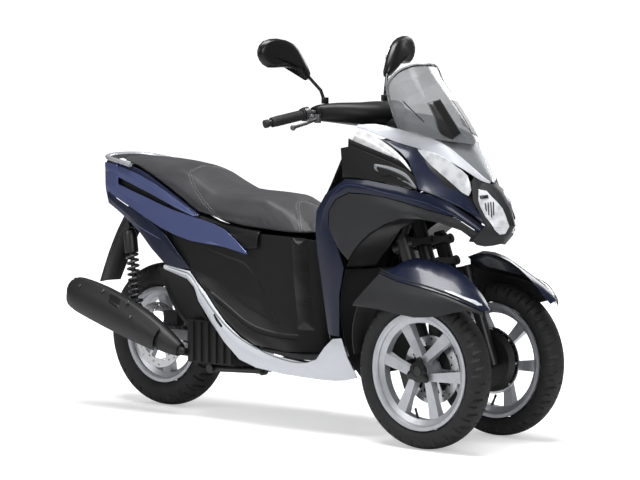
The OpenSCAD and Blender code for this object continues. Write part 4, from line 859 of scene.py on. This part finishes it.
vinyl = seat_vinyl()
foam = merged_copy("seat")
foam.normal_update()
for v in foam.verts:
    v.co -= v.normal * 0.004
seat_pad = collected("seat.pad", foam, vinyl, "seat")
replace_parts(seat_pad, "seat")
grid = seat_pad.modifiers.new("grid", "REMESH")
grid.mode = "VOXEL"
grid.voxel_size = 0.006
even = seat_pad.modifiers.new("even", "SMOOTH")
even.factor = 0.5
even.iterations = 26
seat_pad.data = settled_mesh(seat_pad)
seat_pad.modifiers.clear()
base = [v.index for v in seat_pad.data.vertices if v.normal.z < -0.6]
seat_pad.vertex_groups.new(name="base").add(base, 1.0, "REPLACE")
start = [v.co.copy() for v in seat_pad.data.vertices]
cloth = seat_pad.modifiers.new("cloth", "CLOTH")
cloth.settings.quality = 4
cloth.settings.use_pressure = True
cloth.settings.uniform_pressure_force = 4.0
cloth.settings.effector_weights.gravity = 0.0
cloth.settings.vertex_group_mass = "base"
for number in range(1, 21):
    bpy.context.scene.frame_set(number)
puffed = settled_mesh(seat_pad)
seat_pad.modifiers.clear()
for v, was in zip(puffed.vertices, start):
    shift = v.co - was
    if shift.length > 0.005:
        v.co = was + shift.normalized() * 0.005
seat_pad.data = puffed
bpy.context.scene.frame_set(1)

seams = []
for path in ([(-168, 243, 670), (-166, 258, 693), (-165, 286, 715), (-152, 337, 755), (-135, 385, 793),
              (-112, 420, 826), (-60, 446, 844), (0, 455, 850), (60, 446, 844), (112, 420, 826),
              (135, 385, 793), (152, 337, 755), (165, 286, 715), (166, 258, 693), (168, 243, 670)],
             [(-126, -100, 655), (-112, -82, 680), (-75, -46, 712), (-39, -10, 738), (0, 8, 750),
              (39, -10, 738), (75, -46, 712), (112, -82, 680), (126, -100, 655)]):
    seams.append(even_path(path, 160))
near_seam = mathutils.kdtree.KDTree(2 * 161)
for number, point in enumerate(seams[0] + seams[1]):
    near_seam.insert(point, number)
near_seam.balance()
seat_pad.data.update()
for v in seat_pad.data.vertices:
    gap = near_seam.find(v.co)[2]
    if gap < 0.03 and v.normal.z > -0.5:
        v.co -= v.normal * (0.0030 * math.exp(-(gap / 0.006) ** 2))
seat_pad.data.materials.clear()
seat_pad.data.materials.append(vinyl)
seat_pad.data.shade_smooth()
plump = seat_pad.modifiers.new("plump", "SUBSURF")
plump.levels = plump.render_levels = 1

cover = bmesh.new()
cover.from_mesh(seat_pad.data)
cover_skin = BVHTree.FromBMesh(cover)
cover.free()
thread = bmesh.new()
for seam in seams:
    for offset in (-0.0042, 0.0042):
        run = 0.0
        for a, b in zip(seam, seam[1:]):
            run += (b - a).length
            if run < 0.0062:
                continue
            run = 0.0
            spot, facing = cover_skin.find_nearest(a)[:2]
            ahead = (b - a).normalized()
            across = facing.cross(ahead).normalized()
            head = spot + across * offset
            line = [head, head + ahead * 0.0023, head + ahead * 0.0046]
            lay_sheet(thread, cover_skin, [q + across * 0.0010 for q in line],
                      [q - across * 0.0010 for q in line], 0.0011, 0.4, 2)
thread_grey = rubber("seat thread", (0.50, 0.50, 0.52), 0.60)
collected("seat.stitches", thread, thread_grey, "seat", 60)
